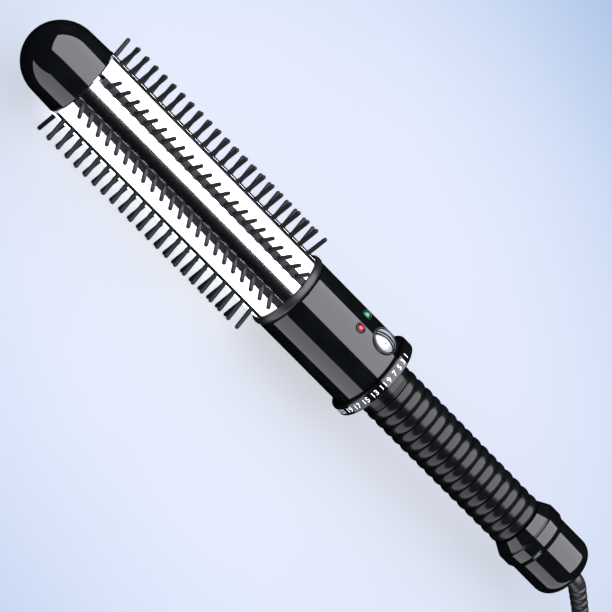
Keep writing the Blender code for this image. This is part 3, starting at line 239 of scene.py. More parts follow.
def gloss_abs(name, code):
    # ABS from a polished mould: near-black, mirror-like, with a faint haze of handling
    made, tree, principled, place = start_material(name, IOR=1.54)
    haze = noise(tree, place, 9.0, 3.0)
    dust = noise(tree, place, 0.5, 2.0)
    dress(tree, principled, tone(tree, haze, code, 0.8, 1.3, 0.35), spread(tree, haze, 0.045, 0.075))
    bump(tree, principled, dust, 0.0012, 0.5)
    return made


def chrome_plate(name, code):
    # bright nickel-chrome over an extruded tube: its fine die lines take the edge off reflections
    made, tree, principled, place = start_material(name, Metallic=1.0)
    lines = noise(tree, place, 0.35, 4.0, (60, 1, 1))
    wipe = noise(tree, place, 12.0, 3.0)
    polish = add(tree, "ShaderNodeMath", {0: lines, 1: wipe}, operation="MULTIPLY").outputs[0]
    dress(tree, principled, tone(tree, lines, code, 0.93, 1.0), spread(tree, polish, 0.12, 0.14, 0.1, 0.45))
    return made


def nylon_pins(name, code):
    # injection-moulded heat-proof nylon: satin, and slightly mottled by its filler
    return moulded(
        name, code, 0.46, grain=0.5, depth=0.012, drift=0.3, IOR=1.53, Specular_IOR_Level=0.18
    )


def grip_plastic(name, code):
    # polypropylene from a spark-eroded mould: a low gloss that varies over its fine grain
    return moulded(name, code, 0.2, grain=0.45, depth=0.003, IOR=1.49, Specular_IOR_Level=0.36)


def collar_nylon(name, code):
    # glass-filled nylon: dull black with a fine even grain
    return moulded(name, code, 0.36, grain=0.4, depth=0.01, IOR=1.53)


def cord_pvc(name, code):
    # extruded PVC: soft sheen with a slight ripple from the conductors laid inside
    return moulded(name, code, 0.34, grain=1.6, depth=0.02, drift=0.2, IOR=1.52)


def metallised(name, code):
    # vacuum-metallised ABS under clear lacquer, with the grain of its fine satin mould
    made, tree, principled, place = start_material(
        name, Metallic=0.3, Coat_Weight=0.3, Coat_Roughness=0.12
    )
    grain = noise(tree, place, 0.25, 2.0)
    dress(tree, principled, tone(tree, grain, code, 0.82, 1.0), spread(tree, grain, 0.32, 0.42))
    bump(tree, principled, grain, 0.012, 0.7)
    return made


def lens_epoxy(name, code):
    # diffused tinted epoxy: painted shade and glow stand in for the light that enters the dome and comes
    # back, so the colour is deeper at its foot and paler at its top
    made, tree, principled, place = start_material(
        name, Roughness=0.08, IOR=1.5, Coat_Weight=0.6, Coat_Roughness=0.03, Subsurface_Weight=0.35,
        Subsurface_Radius=(0.6 * MM, 0.6 * MM, 0.6 * MM), Subsurface_Scale=1.0,
    )
    height = add(tree, "ShaderNodeSeparateXYZ", {0: place}).outputs["Z"]
    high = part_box("led_green")[1].z
    # painted shade and glow: the lens is darker towards its foot and lighter at its top, with a faint random
    # cloud mixed in
    rise = spread(tree, height, 0.0, 1.0, high - 3 * MM, high)
    cloud = noise(tree, place, 0.8, 2.0)
    painted_glow_and_cloud = add(tree, "ShaderNodeMath", {0: rise, 1: spread(tree, cloud, -0.15, 0.15)}, operation="ADD")
    dress(tree, principled, tone(tree, painted_glow_and_cloud.outputs[0], code, 0.55, 1.25, 0.1, 0.9))
    return made


def print_ink(name, code):
    # pad-printed white ink: matt and slightly uneven where the pad left it thin
    return moulded(name, code, 0.5, grain=0.3, depth=0.004, drift=0.08, IOR=1.5)


def inlay_plastic(name, code):
    # the button's black band, with one thin grey line printed along its middle
    made, tree, principled, place = start_material(name, IOR=1.54, Roughness=0.12)
    across = add(tree, "ShaderNodeSeparateXYZ", {0: place}).outputs["Y"]
    low, high = (corner.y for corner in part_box("button_inlay"))
    off = add(tree, "ShaderNodeMath", {0: across, 1: (low + high) / 2}, operation="SUBTRACT")
    away = add(tree, "ShaderNodeMath", {0: off.outputs[0]}, operation="ABSOLUTE")
    line = spread(tree, away.outputs[0], 1.0, 0.0, 0.16 * MM, 0.24 * MM)
    worn = add(
        tree, "ShaderNodeMath", {0: line, 1: spread(tree, noise(tree, place, 0.4), 0.6, 1.0)},
        operation="MULTIPLY",
    )
    dress(tree, principled, ramp(tree, worn.outputs[0], [(0.0, linear(code)), (1.0, linear("#8a8c90"))]))
    return made


def brushed_metal(name, code, rough, stretch):
    # rolled or brushed stock: grain lines along its length
    made, tree, principled, place = start_material(name, Metallic=1.0)
    lines = noise(tree, place, 0.3, 4.0, stretch)
    gloss = spread(tree, lines, rough * 0.75, rough * 1.3)
    dress(tree, principled, tone(tree, lines, code, 0.8, 1.05), gloss)
    bump(tree, principled, lines, 0.004)
    return made


def circuit_board(name, code):
    # glass epoxy under green solder mask: copper tracks show as paler lines beneath it
    made, tree, principled, place = start_material(name, IOR=1.55)
    tracks = add(
        tree, "ShaderNodeTexBrick",
        {"Vector": place, "Color1": linear(code), "Color2": linear("#11562c"),
         "Mortar": linear("#2f8a4c"), "Scale": 1 / (10 * MM), "Mortar Size": 0.03,
         "Brick Width": 0.35, "Row Height": 0.25},
    )
    weave = noise(tree, place, 0.4)
    dress(tree, principled, tracks.outputs["Color"], spread(tree, weave, 0.25, 0.4))
    bump(tree, principled, tracks.outputs["Fac"], 0.03)
    return made


def paper_floor(name, code):
    # a roll of coated paper: matt and even, with a very faint tooth
    made, tree, principled, place = start_material(name, IOR=1.45)
    tooth = noise(tree, place, 0.5, 4.0)
    cloud = noise(tree, place, 180.0, 2.0)
    dress(tree, principled, tone(tree, cloud, code, 0.985, 1.015), spread(tree, tooth, 0.75, 0.9))
    bump(tree, principled, tooth, 0.01, 0.4)
    return made


FINISHES = {  # name: (maker, a colour of BrushColours or its own, settings)
    "gloss_abs": (gloss_abs, "shell", {}),
    "chrome_plate": (chrome_plate, "chrome", {}),
    "nylon_pins": (nylon_pins, "pins", {}),
    "grip_polypropylene": (grip_plastic, "grip", {}),
    "collar_nylon": (collar_nylon, "collar", {}),
    "cord_pvc": (cord_pvc, "cord", {}),
    "metallised_abs": (metallised, "silver", {}),
    "green_epoxy": (lens_epoxy, "green", {}),
    "red_epoxy": (lens_epoxy, "red", {}),
    "print_ink": (print_ink, "ink", {}),
    "inlay_plastic": (inlay_plastic, "shell", {}),
    "paper_floor": (paper_floor, "floor", {}),
    "circuit_board": (circuit_board, "#0d4a26", {}),
    # mill-finish aluminium blocks, sawn across
    "mill_aluminium": (brushed_metal, "#c9cbcd", {"rough": 0.4, "stretch": (30, 1, 1)}),
    # rolled brass strip, slightly tarnished
    "rolled_brass": (brushed_metal, "#c9a45c", {"rough": 0.28, "stretch": (20, 1, 1)}),
    # nickel-plated brass, scuffed by sockets
    "nickel_plate": (brushed_metal, "#d8d6cf", {"rough": 0.2, "stretch": (30, 1, 1)}),
    # zinc-plated steel
    "zinc_steel": (brushed_metal, "#a9adb1", {"rough": 0.3, "stretch": (1, 6, 1)}),
    # fired barium titanate: dull dark grey with a pressed grain
    "fired_ceramic": (moulded, "#57544f", {"rough": 0.6, "grain": 0.3, "depth": 0.02}),
    # mica board: pale, flaky layers
    "mica_board": (
        moulded, "#b9a878", {"rough": 0.45, "grain": 1.2, "depth": 0.03, "stretch": (0.3, 2, 2)}
    ),
    # natural nylon: cream and waxy
    "natural_nylon": (moulded, "#d8d0bd", {"rough": 0.45, "grain": 0.8, "depth": 0.006, "drift": 0.06}),
    # black thermoset of a switch and a power device
    "thermoset": (moulded, "#1c1c1e", {"rough": 0.5, "grain": 0.2, "depth": 0.01}),
    # silicone-covered leads: soft and slightly dusty
    "red_silicone": (moulded, "#a5241c", {"rough": 0.5, "grain": 0.7, "depth": 0.01, "drift": 0.1}),
    "white_silicone": (moulded, "#d9d8d2", {"rough": 0.5, "grain": 0.7, "depth": 0.01, "drift": 0.05}),
}


def material(name):
    """The finish of this name, made the first time it's asked for."""
    if name in bpy.data.materials:
        return bpy.data.materials[name]
    maker, code, settings = FINISHES[name]
    return maker(name, getattr(colours(), code, code), **settings)


CAD_FINISHES = {
    "mill_aluminium": ("heat_spreader_upper", "heat_spreader_lower", "electrode_upper", "electrode_lower"),
    "rolled_brass": ("dial_wiper", "slip_ring_live", "slip_ring_neutral", "contact_blade_live",
                     "contact_blade_neutral"),
    "zinc_steel": ("thermal_fuse", "board_screw_back", "board_screw_front", "dial_clip"),
    "fired_ceramic": ("ptc_heater", "thermistor"),
    "mica_board": ("insulator_disc",),
    "circuit_board": ("control_board", "dial_track"),
    "natural_nylon": ("tip_insert", "dropper_capacitor", "contact_carrier", "swivel_spindle",
                      "switch_plunger"),
    "thermoset": ("triac", "switch_body"),
    "red_silicone": ("heater_lead_live", "supply_lead_live"),
    "white_silicone": ("heater_lead_neutral", "supply_lead_neutral", "sensor_lead"),
    "grip_polypropylene": ("handle_core",),
}


# ---------------------------------------------------------------- modelling helpers

def clear_selection():
    if bpy.context.mode != "OBJECT":
        bpy.ops.object.mode_set(mode="OBJECT")
    bpy.ops.object.select_all(action="DESELECT")


def select_only(obj):
    clear_selection()
    obj.select_set(True)
    bpy.context.view_layer.objects.active = obj


def arc(centre, radius, start, end, steps):
    """Points (along, out) of an arc, angles in degrees from along; both ends are included."""
    wide, high = radius if isinstance(radius, tuple) else (radius, radius)
    angles = [math.radians(start + (end - start) * i / steps) for i in range(steps + 1)]
    return [(centre[0] + wide * math.cos(a), centre[1] + high * math.sin(a)) for a in angles]


def draw(name, points):
    """A chain of edges through the points, drawn by extruding one vertex, left in edit mode."""
    clear_selection()
    bpy.ops.mesh.primitive_plane_add(size=MM)
    obj = bpy.context.active_object
    obj.name = obj.data.name = name
    bpy.ops.object.mode_set(mode="EDIT")
    bpy.ops.mesh.merge(type="CENTER")
    bpy.ops.transform.translate(value=points[0])
    for before, after in zip(points, points[1:]):
        bpy.ops.mesh.extrude_region_move(TRANSFORM_OT_translate={"value": after - before})
    bpy.ops.mesh.select_all(action="SELECT")
    return obj


def close_up():
    """Merges doubles, points the faces outwards and leaves edit mode."""
    bpy.ops.mesh.select_all(action="SELECT")
    bpy.ops.mesh.remove_doubles(threshold=MERGE)
    bpy.ops.mesh.normals_make_consistent(inside=False)
    bpy.ops.object.mode_set(mode="OBJECT")


def turned(name, profile, steps=ROUND_STEPS, centre=AXIS_POINT, axis=(1, 0, 0), out=(0, 0, 1)):
    """A closed profile of (along, radius) points, spun round an axis."""
    along, away = Vector(axis), Vector(out)
    points = [centre + along * (x - centre.dot(along)) + away * r for x, r in profile]
    obj = draw(name, [*points, points[0]])
    bpy.ops.mesh.remove_doubles(threshold=FUSE)
    bpy.ops.mesh.spin(steps=steps, angle=2 * math.pi, center=centre, axis=along)
    close_up()
    return obj


def prism(name, outline, reach):
    """A closed outline of points, filled and extruded by a vector."""
    obj = draw(name, [*outline, outline[0]])
    bpy.ops.mesh.remove_doubles(threshold=FUSE)
    bpy.ops.mesh.edge_face_add()
    bpy.ops.mesh.extrude_region_move(TRANSFORM_OT_translate={"value": reach})
    close_up()
    return obj


def apply_modifier(obj, kind, **settings):
    select_only(obj)
    made = obj.modifiers.new(kind.title(), kind)
    for name, value in settings.items():
        setattr(made, name, value)
    bpy.ops.object.modifier_apply(modifier=made.name)


def cut(obj, cutter, operation="DIFFERENCE"):
    apply_modifier(obj, "BOOLEAN", object=cutter, operation=operation, solver="EXACT")
    bpy.data.objects.remove(cutter)


def soften(obj, width, segments=2, angle=50):
    """Rounds the edges that are sharper than the angle."""
    apply_modifier(
        obj, "BEVEL", width=width, segments=segments, limit_method="ANGLE", angle_limit=math.radians(angle)
    )


def smooth(obj, angle=30):
    select_only(obj)
    bpy.ops.object.shade_smooth_by_angle(angle=math.radians(angle))


def bake_place(obj, matrix):
    """Puts the object's place into its mesh, so that the object itself sits at the origin."""
    obj.data.transform(matrix @ obj.matrix_basis)
    obj.matrix_basis = Matrix.Identity(4)


def finish(obj, finish_name, body, *nodes, slot=None, angle=30):
    """The last step of each piece: shading, material, body and what it stands for."""
    if obj.type == "MESH":
        smooth(obj, angle)
    obj.data.materials.clear()
    obj.data.materials.append(material(finish_name))
    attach(obj, body)
    if nodes:
        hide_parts(*nodes)
    return obj


def around(angle):
    """A turn about the brush's axis, from straight up towards +Y."""
    turn = Matrix.Rotation(-angle, 4, "X")
    return Matrix.Translation(AXIS_POINT) @ turn @ Matrix.Translation(-AXIS_POINT)


def control_tilt():
    """The tilt of the controls' centre plane, read from where the button slides."""
    press = next(joint for joint in frame["joints"] if joint["name"] == "power_press")
    return math.atan2(-press["axis"][1], -press["axis"][2])


# ---------------------------------------------------------------- pieces

class BRUSH_OT_tip(bpy.types.Operator):
    """Add the cool tip: a rounded nose on a slightly flared shell"""
    bl_idname = "brush.tip"
    bl_label = "Cool tip"

    def execute(self, context):
        s = sizes()
        shoulder = TIP_BACK - s.tip_straight
        nose = (shoulder - TIP_FRONT, s.tip_shoulder)
        wall = 2 * MM
        edge = 0.35 * MM
        profile = arc((shoulder, 0), nose, 180, 90, 40)
        profile += arc((TIP_BACK - edge, s.tip_radius - edge), edge, 80, 0, 5)
        profile += [(TIP_BACK, s.tip_radius - wall)]
        profile += arc((shoulder, 0), (nose[0] - wall, nose[1] - wall), 90, 180, 16)
        obj = turned("cool_tip", profile)
        finish(obj, "gloss_abs", "handle", "tip_cap", slot="gloss_black")
        return {"FINISHED"}


class BRUSH_OT_barrel(bpy.types.Operator):
    """Add the plated barrel with a T-shaped slot for each bristle strip"""
    bl_idname = "brush.barrel"
    bl_label = "Barrel"

    def execute(self, context):
        s = sizes()
        rows, land_steps, lip_round = 8, 15, 0.09 * MM
        mouth, foot = s.slot_mouth / 2, s.slot_width / 2
        lip, floor = s.barrel_radius - s.slot_lip, s.barrel_radius - s.slot_depth
        edge = math.asin((mouth + lip_round) / s.barrel_radius)
        rim = s.barrel_radius * math.cos(edge)
        rounding = [(side, out) for side, out in
                    arc((mouth + lip_round, rim - lip_round), lip_round, 180, 100, 4)]
        half_slot = [(foot, floor), (foot, lip), (mouth, lip), *rounding]
        slot_outline = [(-side, out) for side, out in reversed(half_slot)] + half_slot
        outline = []
        for row in range(rows):
            middle = 2 * math.pi * (row + 0.5) / rows
            turn = around(middle)
            outline += [
                turn @ Vector((BARREL_FRONT, side, AXIS_Z + out)) for side, out in slot_outline
            ]
            for i in range(land_steps + 1):
                at = middle + edge + (2 * math.pi / rows - 2 * edge) * i / land_steps
                outline.append(
                    Vector((BARREL_FRONT, s.barrel_radius * math.sin(at),
                            AXIS_Z + s.barrel_radius * math.cos(at)))
                )
        obj = prism("plated_barrel", outline, Vector((BARREL_BACK - BARREL_FRONT, 0, 0)))
        bore = turned(
            "bore",
            [(BARREL_FRONT - MM, 0), (BARREL_FRONT - MM, s.barrel_bore),
             (BARREL_BACK + MM, s.barrel_bore), (BARREL_BACK + MM, 0)],
        )
        cut(obj, bore)
        finish(obj, "chrome_plate", "handle", "barrel", slot="chrome", angle=25)
        return {"FINISHED"}


class BRUSH_OT_bristles(bpy.types.Operator):
    """Add the eight bristle strips, each a T-shaped rail with one row of round-ended pins"""
    bl_idname = "brush.bristles"
    bl_label = "Bristle strips"

    def make_strip(self, start, end, pins_forward=0.0):
        s = sizes()
        gap, neck_gap = 0.3 * MM, 0.12 * MM
        neck, foot = s.slot_mouth / 2 - neck_gap, s.slot_width / 2 - gap
        floor = s.barrel_radius - s.slot_depth + gap
        shelf = s.barrel_radius - s.slot_lip - gap
        top = s.barrel_radius - 0.05 * MM
        corner = 0.25 * MM
        half = [(foot, floor), (foot, shelf), (neck, shelf)]
        half += arc((neck - corner, top - corner), corner, 0, 90, 4)
        section = [(-side, out) for side, out in reversed(half)] + half
        outline = [Vector((start, side, AXIS_Z + out)) for side, out in section]
        strip = prism("strip", outline, Vector((end - start, 0, 0)))
        fillet = 0.45 * MM
        reach = s.pin_reach - s.pin_end
        profile = [(shelf, 0), (shelf, s.pin_base + fillet)]
        profile += arc((top + fillet, s.pin_base + fillet), (fillet, fillet), 180, 270, 4)
        profile += arc((reach, 0), s.pin_end, 90, 0, 4)
        profile = [(AXIS_Z + x, r) for x, r in profile]
        end_margin = 3.3 * MM
        first = start + end_margin - pins_forward
        pin = turned(
            "pin", profile, 12, Vector((first, 0, AXIS_Z)), axis=(0, 0, 1), out=(1, 0, 0)
        )
        select_only(pin)
        bpy.ops.object.mode_set(mode="EDIT")
        bpy.ops.mesh.select_all(action="SELECT")
        for _ in range(s.pin_count - 1):
            bpy.ops.mesh.duplicate_move(TRANSFORM_OT_translate={"value": (s.pin_pitch, 0, 0)})
        bpy.ops.object.mode_set(mode="OBJECT")
        cut(strip, pin, "UNION")
        return strip

    def execute(self, context):
        rows, stagger, foot_end = 8, 0.9 * MM, 2 * MM
        nominal, end = (corner.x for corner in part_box("bristle_strip_1"))
        master, forward = self.make_strip(nominal, end), self.make_strip(nominal, end, stagger)
        for number in range(1, rows + 1):
            node = f"bristle_strip_{number}"
            strip = (forward if number in (2, 5) else master).copy()
            strip.data = strip.data.copy()
            strip.name = strip.data.name = f"pin_row_{number}"
            context.collection.objects.link(strip)
            front, back = (corner.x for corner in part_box(node))
            turn = around(2 * math.pi * (number - 0.5) / rows)
            bake_place(strip, turn @ Matrix.Translation((front - nominal, 0, 0)))
            for vertex in strip.data.vertices:  # the rail ends where its own node does
                if vertex.co.x > back - foot_end:
                    vertex.co.x = back
            finish(strip, "nylon_pins", "handle", node, slot="bristle_grey", angle=40)
            # strips 1 to 6 show in no reflection, so that their doubles don't clutter the barrel
            strip.visible_glossy = number > 6
        for done in (master, forward):
            bpy.data.objects.remove(done)
        return {"FINISHED"}


class BRUSH_OT_collar(bpy.types.Operator):
    """Add the front collar, a bead round the barrel's end with a spigot into the housing"""
    bl_idname = "brush.collar"
    bl_label = "Front collar"

    def execute(self, context):
        s = sizes()
        low, high = (corner.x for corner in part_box("front_collar"))
        bead_front, bead_back = HOUSING_FRONT - 4.0 * MM, HOUSING_FRONT - 0.35 * MM
        bead_rise = 1.1 * MM
        inner = s.barrel_radius + 0.15 * MM
        bore = 9.5 * MM
        sleeve = s.barrel_bore - 0.3 * MM
        spigot = s.housing_radius - s.housing_wall - 0.3 * MM
        groove = BARREL_BACK + 0.3 * MM
        middle = (bead_front + bead_back) / 2
        half = (bead_back - bead_front) / 2
        profile = [(low, bore), (low, sleeve), (groove, sleeve), (groove, inner), (bead_front, inner)]
        profile += arc((middle, s.bead_radius - bead_rise), (half, bead_rise), 180, 0, 20)
        profile += [(bead_back, spigot), (high, spigot), (high, bore)]
        obj = turned("front_bead", profile)
        finish(obj, "collar_nylon", "handle", "front_collar", slot="satin_black")
        return {"FINISHED"}


class BRUSH_OT_housing(bpy.types.Operator):
    """Add the control housing with its openings, and the rims round button and indicators"""
    bl_idname = "brush.housing"
    bl_label = "Housing"

    def execute(self, context):
        s = sizes()
        tilt = control_tilt()
        bore = s.housing_radius - s.housing_wall
        edge = 0.5 * MM
        profile = [(HOUSING_FRONT, bore)]
        profile += arc((HOUSING_FRONT + edge, s.housing_radius - edge), edge, 180, 90, 6)
        running_gap = 0.4 * MM  # closed on sight, up to the dial's front edge
        back = HOUSING_BACK + running_gap
        profile += arc((back - edge, s.housing_radius - edge), edge, 90, 0, 6)
        profile += [(back, bore)]
        shell = turned("control_shell", profile, steps=2 * ROUND_STEPS)
        hole_floor, hole_top, rim_foot = 9 * MM, 20 * MM, 0.5 * MM
        side = 4.0 * MM
        holes = [(BUTTON_X, 0.0, s.button_radius + 0.3 * MM, "button_rim", 0.75 * MM, 0.42 * MM)]
        for x_side, rim in ((side, "green_rim"), (-side, "red_rim")):
            holes.append((LED_X, x_side, s.led_radius + 0.2 * MM, rim, 0.5 * MM, 0.35 * MM))
        for x, across, radius, rim, width, rise in holes:
            surface = math.sqrt(s.housing_radius**2 - across**2)
            centre = around(tilt) @ Vector((x, across, AXIS_Z))
            up = (around(tilt) @ Vector((0, 0, AXIS_Z + 1))) - (around(tilt) @ AXIS_POINT)
            right = Vector((1, 0, 0))
            start = centre.dot(up)
            cutter = turned(
                "hole", [(start + hole_floor, 0), (start + hole_floor, radius),
                         (start + hole_top, radius), (start + hole_top, 0)],
                SMALL_STEPS, centre, up, right,
            )
            cut(shell, cutter)
            drop = surface - math.sqrt(s.housing_radius**2 - (abs(across) + radius + width) ** 2)
            low = start + surface - drop - rim_foot
            high = start + surface + rise
            ring = [(low, radius), (low, radius + width)]
            ring += arc((high - width / 2, radius + width / 2), (width / 2, width / 2), 90, -90, 10)
            rim_obj = turned(rim, ring, SMALL_STEPS, centre, up, right)
            finish(rim_obj, "collar_nylon", "handle", slot="gloss_black", angle=45)
        finish(shell, "gloss_abs", "handle", "housing", slot="gloss_black", angle=25)
        return {"FINISHED"}


class BRUSH_OT_button(bpy.types.Operator):
    """Add the power button: a silver dome split by a black band, with a small raised dot"""
    bl_idname = "brush.button"
    bl_label = "Power button"

    def execute(self, context):
        s = sizes()
        turn = around(control_tilt())
        proud, crown, sunk = 2.4 * MM, 2.2 * MM, 2.4 * MM
        flange, flange_rise = s.button_radius + 1.1 * MM, 0.8 * MM
        top = s.housing_radius + proud
        bottom = s.housing_radius - s.housing_wall - sunk
        sphere = (s.button_radius**2 + crown**2) / (2 * crown)
        half = math.degrees(math.asin(s.button_radius / sphere))
        profile = [(bottom, 0), (bottom, flange), (bottom + flange_rise, flange),
                   (bottom + flange_rise, s.button_radius)]
        profile += arc((top - sphere, 0), sphere, half, 0, 24)
        profile = [(AXIS_Z + x, r) for x, r in profile]
        centre = Vector((BUTTON_X, 0, AXIS_Z))
        up, right = Vector((0, 0, 1)), Vector((1, 0, 0))
        dome = turned("button_dome", profile, 72, centre, up, right)
        groove, depth = 1.3 * MM, 1.1 * MM
        reach = 2 * s.button_radius
        floor = AXIS_Z + top - crown - depth
        above = floor + 9 * MM
        outline = [
            Vector((BUTTON_X - reach, y, z)) for y, z in
            ((-groove, floor), (groove, floor), (groove, above), (-groove, above))
        ]
        cut(dome, prism("groove", outline, Vector((2 * reach, 0, 0))))
        soften(dome, 0.12 * MM)
        dot_radius = 0.42 * MM
        dot_y = -2.6 * MM
        dot_top = AXIS_Z + top - sphere + math.sqrt(sphere**2 - dot_y**2)
        dot = turned(
            "dot", [(dot_top - 0.4 * MM, 0), (dot_top - 0.4 * MM, dot_radius),
                    *arc((dot_top - 0.05 * MM, 0), (0.28 * MM, dot_radius), 90, 0, 6)],
            20, Vector((BUTTON_X, dot_y, AXIS_Z)), up, right,
        )
        cut(dome, dot, "UNION")
        bake_place(dome, turn)
        finish(dome, "metallised_abs", "power_button", "power_button", slot="silver")
        band_half = 1.05 * MM
        inset = 0.05 * MM
        ends = half * 0.97
        bed = top - crown - depth + 0.3 * MM
        crest = arc((0, top - inset - sphere), sphere, 90 + ends, 90 - ends, 16)
        points = [(crest[0][0], bed), *crest, (crest[-1][0], bed)]
        outline = [Vector((BUTTON_X + x, -band_half, AXIS_Z + z)) for x, z in points]
        band = prism("button_band", outline, Vector((0, 2 * band_half, 0)))
        soften(band, 0.15 * MM, 3)
        bake_place(band, turn)
        finish(band, "inlay_plastic", "power_button", "button_inlay", slot="gloss_black")
        return {"FINISHED"}


class BRUSH_OT_indicators(bpy.types.Operator):
    """Add the green and the red indicator, each a domed lens with its flange"""
    bl_idname = "brush.indicators"
    bl_label = "Indicators"

    def execute(self, context):
        s = sizes()
        turn = around(control_tilt())
        for node, side, name, look, slot in (
            ("led_green", 4.0 * MM, "ready_lens", "green_epoxy", "green_lens"),
            ("led_red", -4.0 * MM, "power_lens", "red_epoxy", "red_lens"),
        ):
            surface = math.sqrt(s.housing_radius**2 - side**2)
            proud, body, flange = 0.9 * MM, 4.2 * MM, s.led_radius + 0.3 * MM
            shoulder = surface + proud - s.led_radius
            foot = shoulder - body
            profile = [(foot, 0), (foot, flange), (foot + MM, flange), (foot + MM, s.led_radius)]
            profile += arc((shoulder, 0), s.led_radius, 90, 0, 14)
            profile = [(AXIS_Z + x, r) for x, r in profile]
            lens = turned(
                name, profile, SMALL_STEPS, Vector((LED_X, side, AXIS_Z)), (0, 0, 1), (1, 0, 0)
            )
            bake_place(lens, turn)
            finish(lens, look, "handle", node, slot=slot)
        return {"FINISHED"}


class BRUSH_OT_dial(bpy.types.Operator):
    """Add the heat dial and its printed numbers"""
    bl_idname = "brush.dial"
    bl_label = "Heat dial"

    def execute(self, context):
        s = sizes()
        recess, bore = 15.0 * MM, 12.35 * MM
        web_front = DIAL_FRONT + 1.4 * MM
        web_back = web_front + 1.6 * MM
        edge = 0.55 * MM
        profile = [(web_front, bore), (web_front, recess), (DIAL_FRONT, recess)]
        profile += arc((DIAL_FRONT + edge, s.dial_radius - edge), edge, 180, 90, 8)
        profile += arc((DIAL_BACK - edge, s.dial_radius - edge), edge, 90, 0, 8)
        profile += [(DIAL_BACK, recess), (web_back, recess), (web_back, bore)]
        ring = turned("heat_ring", profile, steps=160)
        finish(ring, "gloss_abs", "heat_dial", "dial_ring", slot="gloss_black")
        self.add_numbers()
        return {"FINISHED"}

    def add_numbers(self):
        """Odd numbers, spaced wider where they have two digits; the first stands by the button."""
        s = sizes()
        narrow, wide, turn = 9.8, 13.8, 5.0  # degrees
        film = 0.02 * MM
        cap_height = 0.72  # of the font's size
        digits = []
        for value in range(1, 27, 2):
            digits.append((str(value), turn))
            turn -= narrow if value < 11 else wide
        made = []
        for text, angle in digits:
            clear_selection()
            bpy.ops.object.text_add()
            obj = bpy.context.active_object
            obj.data.body = text
            obj.data.size = s.numeral_height / cap_height
            obj.data.align_x = "CENTER"
            obj.data.align_y = "CENTER"
            obj.data.space_character = 1.08
            obj.data.extrude = film
            obj.data.resolution_u = 4
            bpy.ops.object.convert(target="MESH")
            obj = bpy.context.active_object
            middle = (DIAL_FRONT + DIAL_BACK) / 2
            for vertex in obj.data.vertices:
                across, up, out = vertex.co
                at = math.radians(angle) + across / s.dial_radius
                radius = s.dial_radius + film + out
                vertex.co = (middle - up, radius * math.sin(at), AXIS_Z + radius * math.cos(at))
            made.append(obj)
        clear_selection()
        for obj in made:
            obj.select_set(True)
        bpy.context.view_layer.objects.active = made[0]
        bpy.ops.object.join()
        numbers = bpy.context.active_object
        numbers.name = numbers.data.name = "dial_numbers"
        bpy.ops.object.mode_set(mode="EDIT")
        close_up()
        finish(numbers, "print_ink", "heat_dial", slot="gloss_black")


class BRUSH_OT_grip(bpy.types.Operator):
    """Add the grip: a smooth neck, a thin groove and rounded rings that grow smaller to the back"""
    bl_idname = "brush.grip"
    bl_label = "Grip"

    def execute(self, context):
        s = sizes()
        bore = 9.7 * MM
        core = 11.31 * MM
        neck_front = DIAL_FRONT + 3.6 * MM
        groove = GRIP_FRONT - 1.7 * MM
        groove_width, groove_depth, groove_pitch, lead_in = 0.45 * MM, 0.3 * MM, 0.85 * MM, 0.4 * MM
        ring_steps = 16
        pitch = (GRIP_BACK - GRIP_FRONT) / s.ring_count
        neck = s.neck_radius + 0.3 * MM
        profile = [(neck_front, core)]
        profile += arc((neck_front + lead_in, neck - lead_in), lead_in, 180, 90, 4)
        for shift in (0.0, groove_pitch):
            profile += arc((groove + shift, neck), (groove_width / 2, groove_depth), 180, 360, 6)
        for ring in range(s.ring_count):
            share = (ring + 0.5) / s.ring_count
            crest = s.grip_front + (s.grip_back - s.grip_front) * share
            for i in range(ring_steps):
                side = abs(2 * i / ring_steps - 1)
                fall = 1 - (1 - side**2.1) ** 0.56  # a little flatter on top than an ellipse
                profile.append((GRIP_FRONT + (ring + i / ring_steps) * pitch, crest - s.ring_depth * fall))
        profile += [(GRIP_BACK, s.grip_back - s.ring_depth), (GRIP_BACK, bore), (GRIP_FRONT, bore),
                    (GRIP_FRONT, core)]
        obj = turned("grip_rings", profile)
        finish(obj, "grip_polypropylene", "handle", "grip_sleeve", slot="satin_black", angle=50)
        return {"FINISHED"}


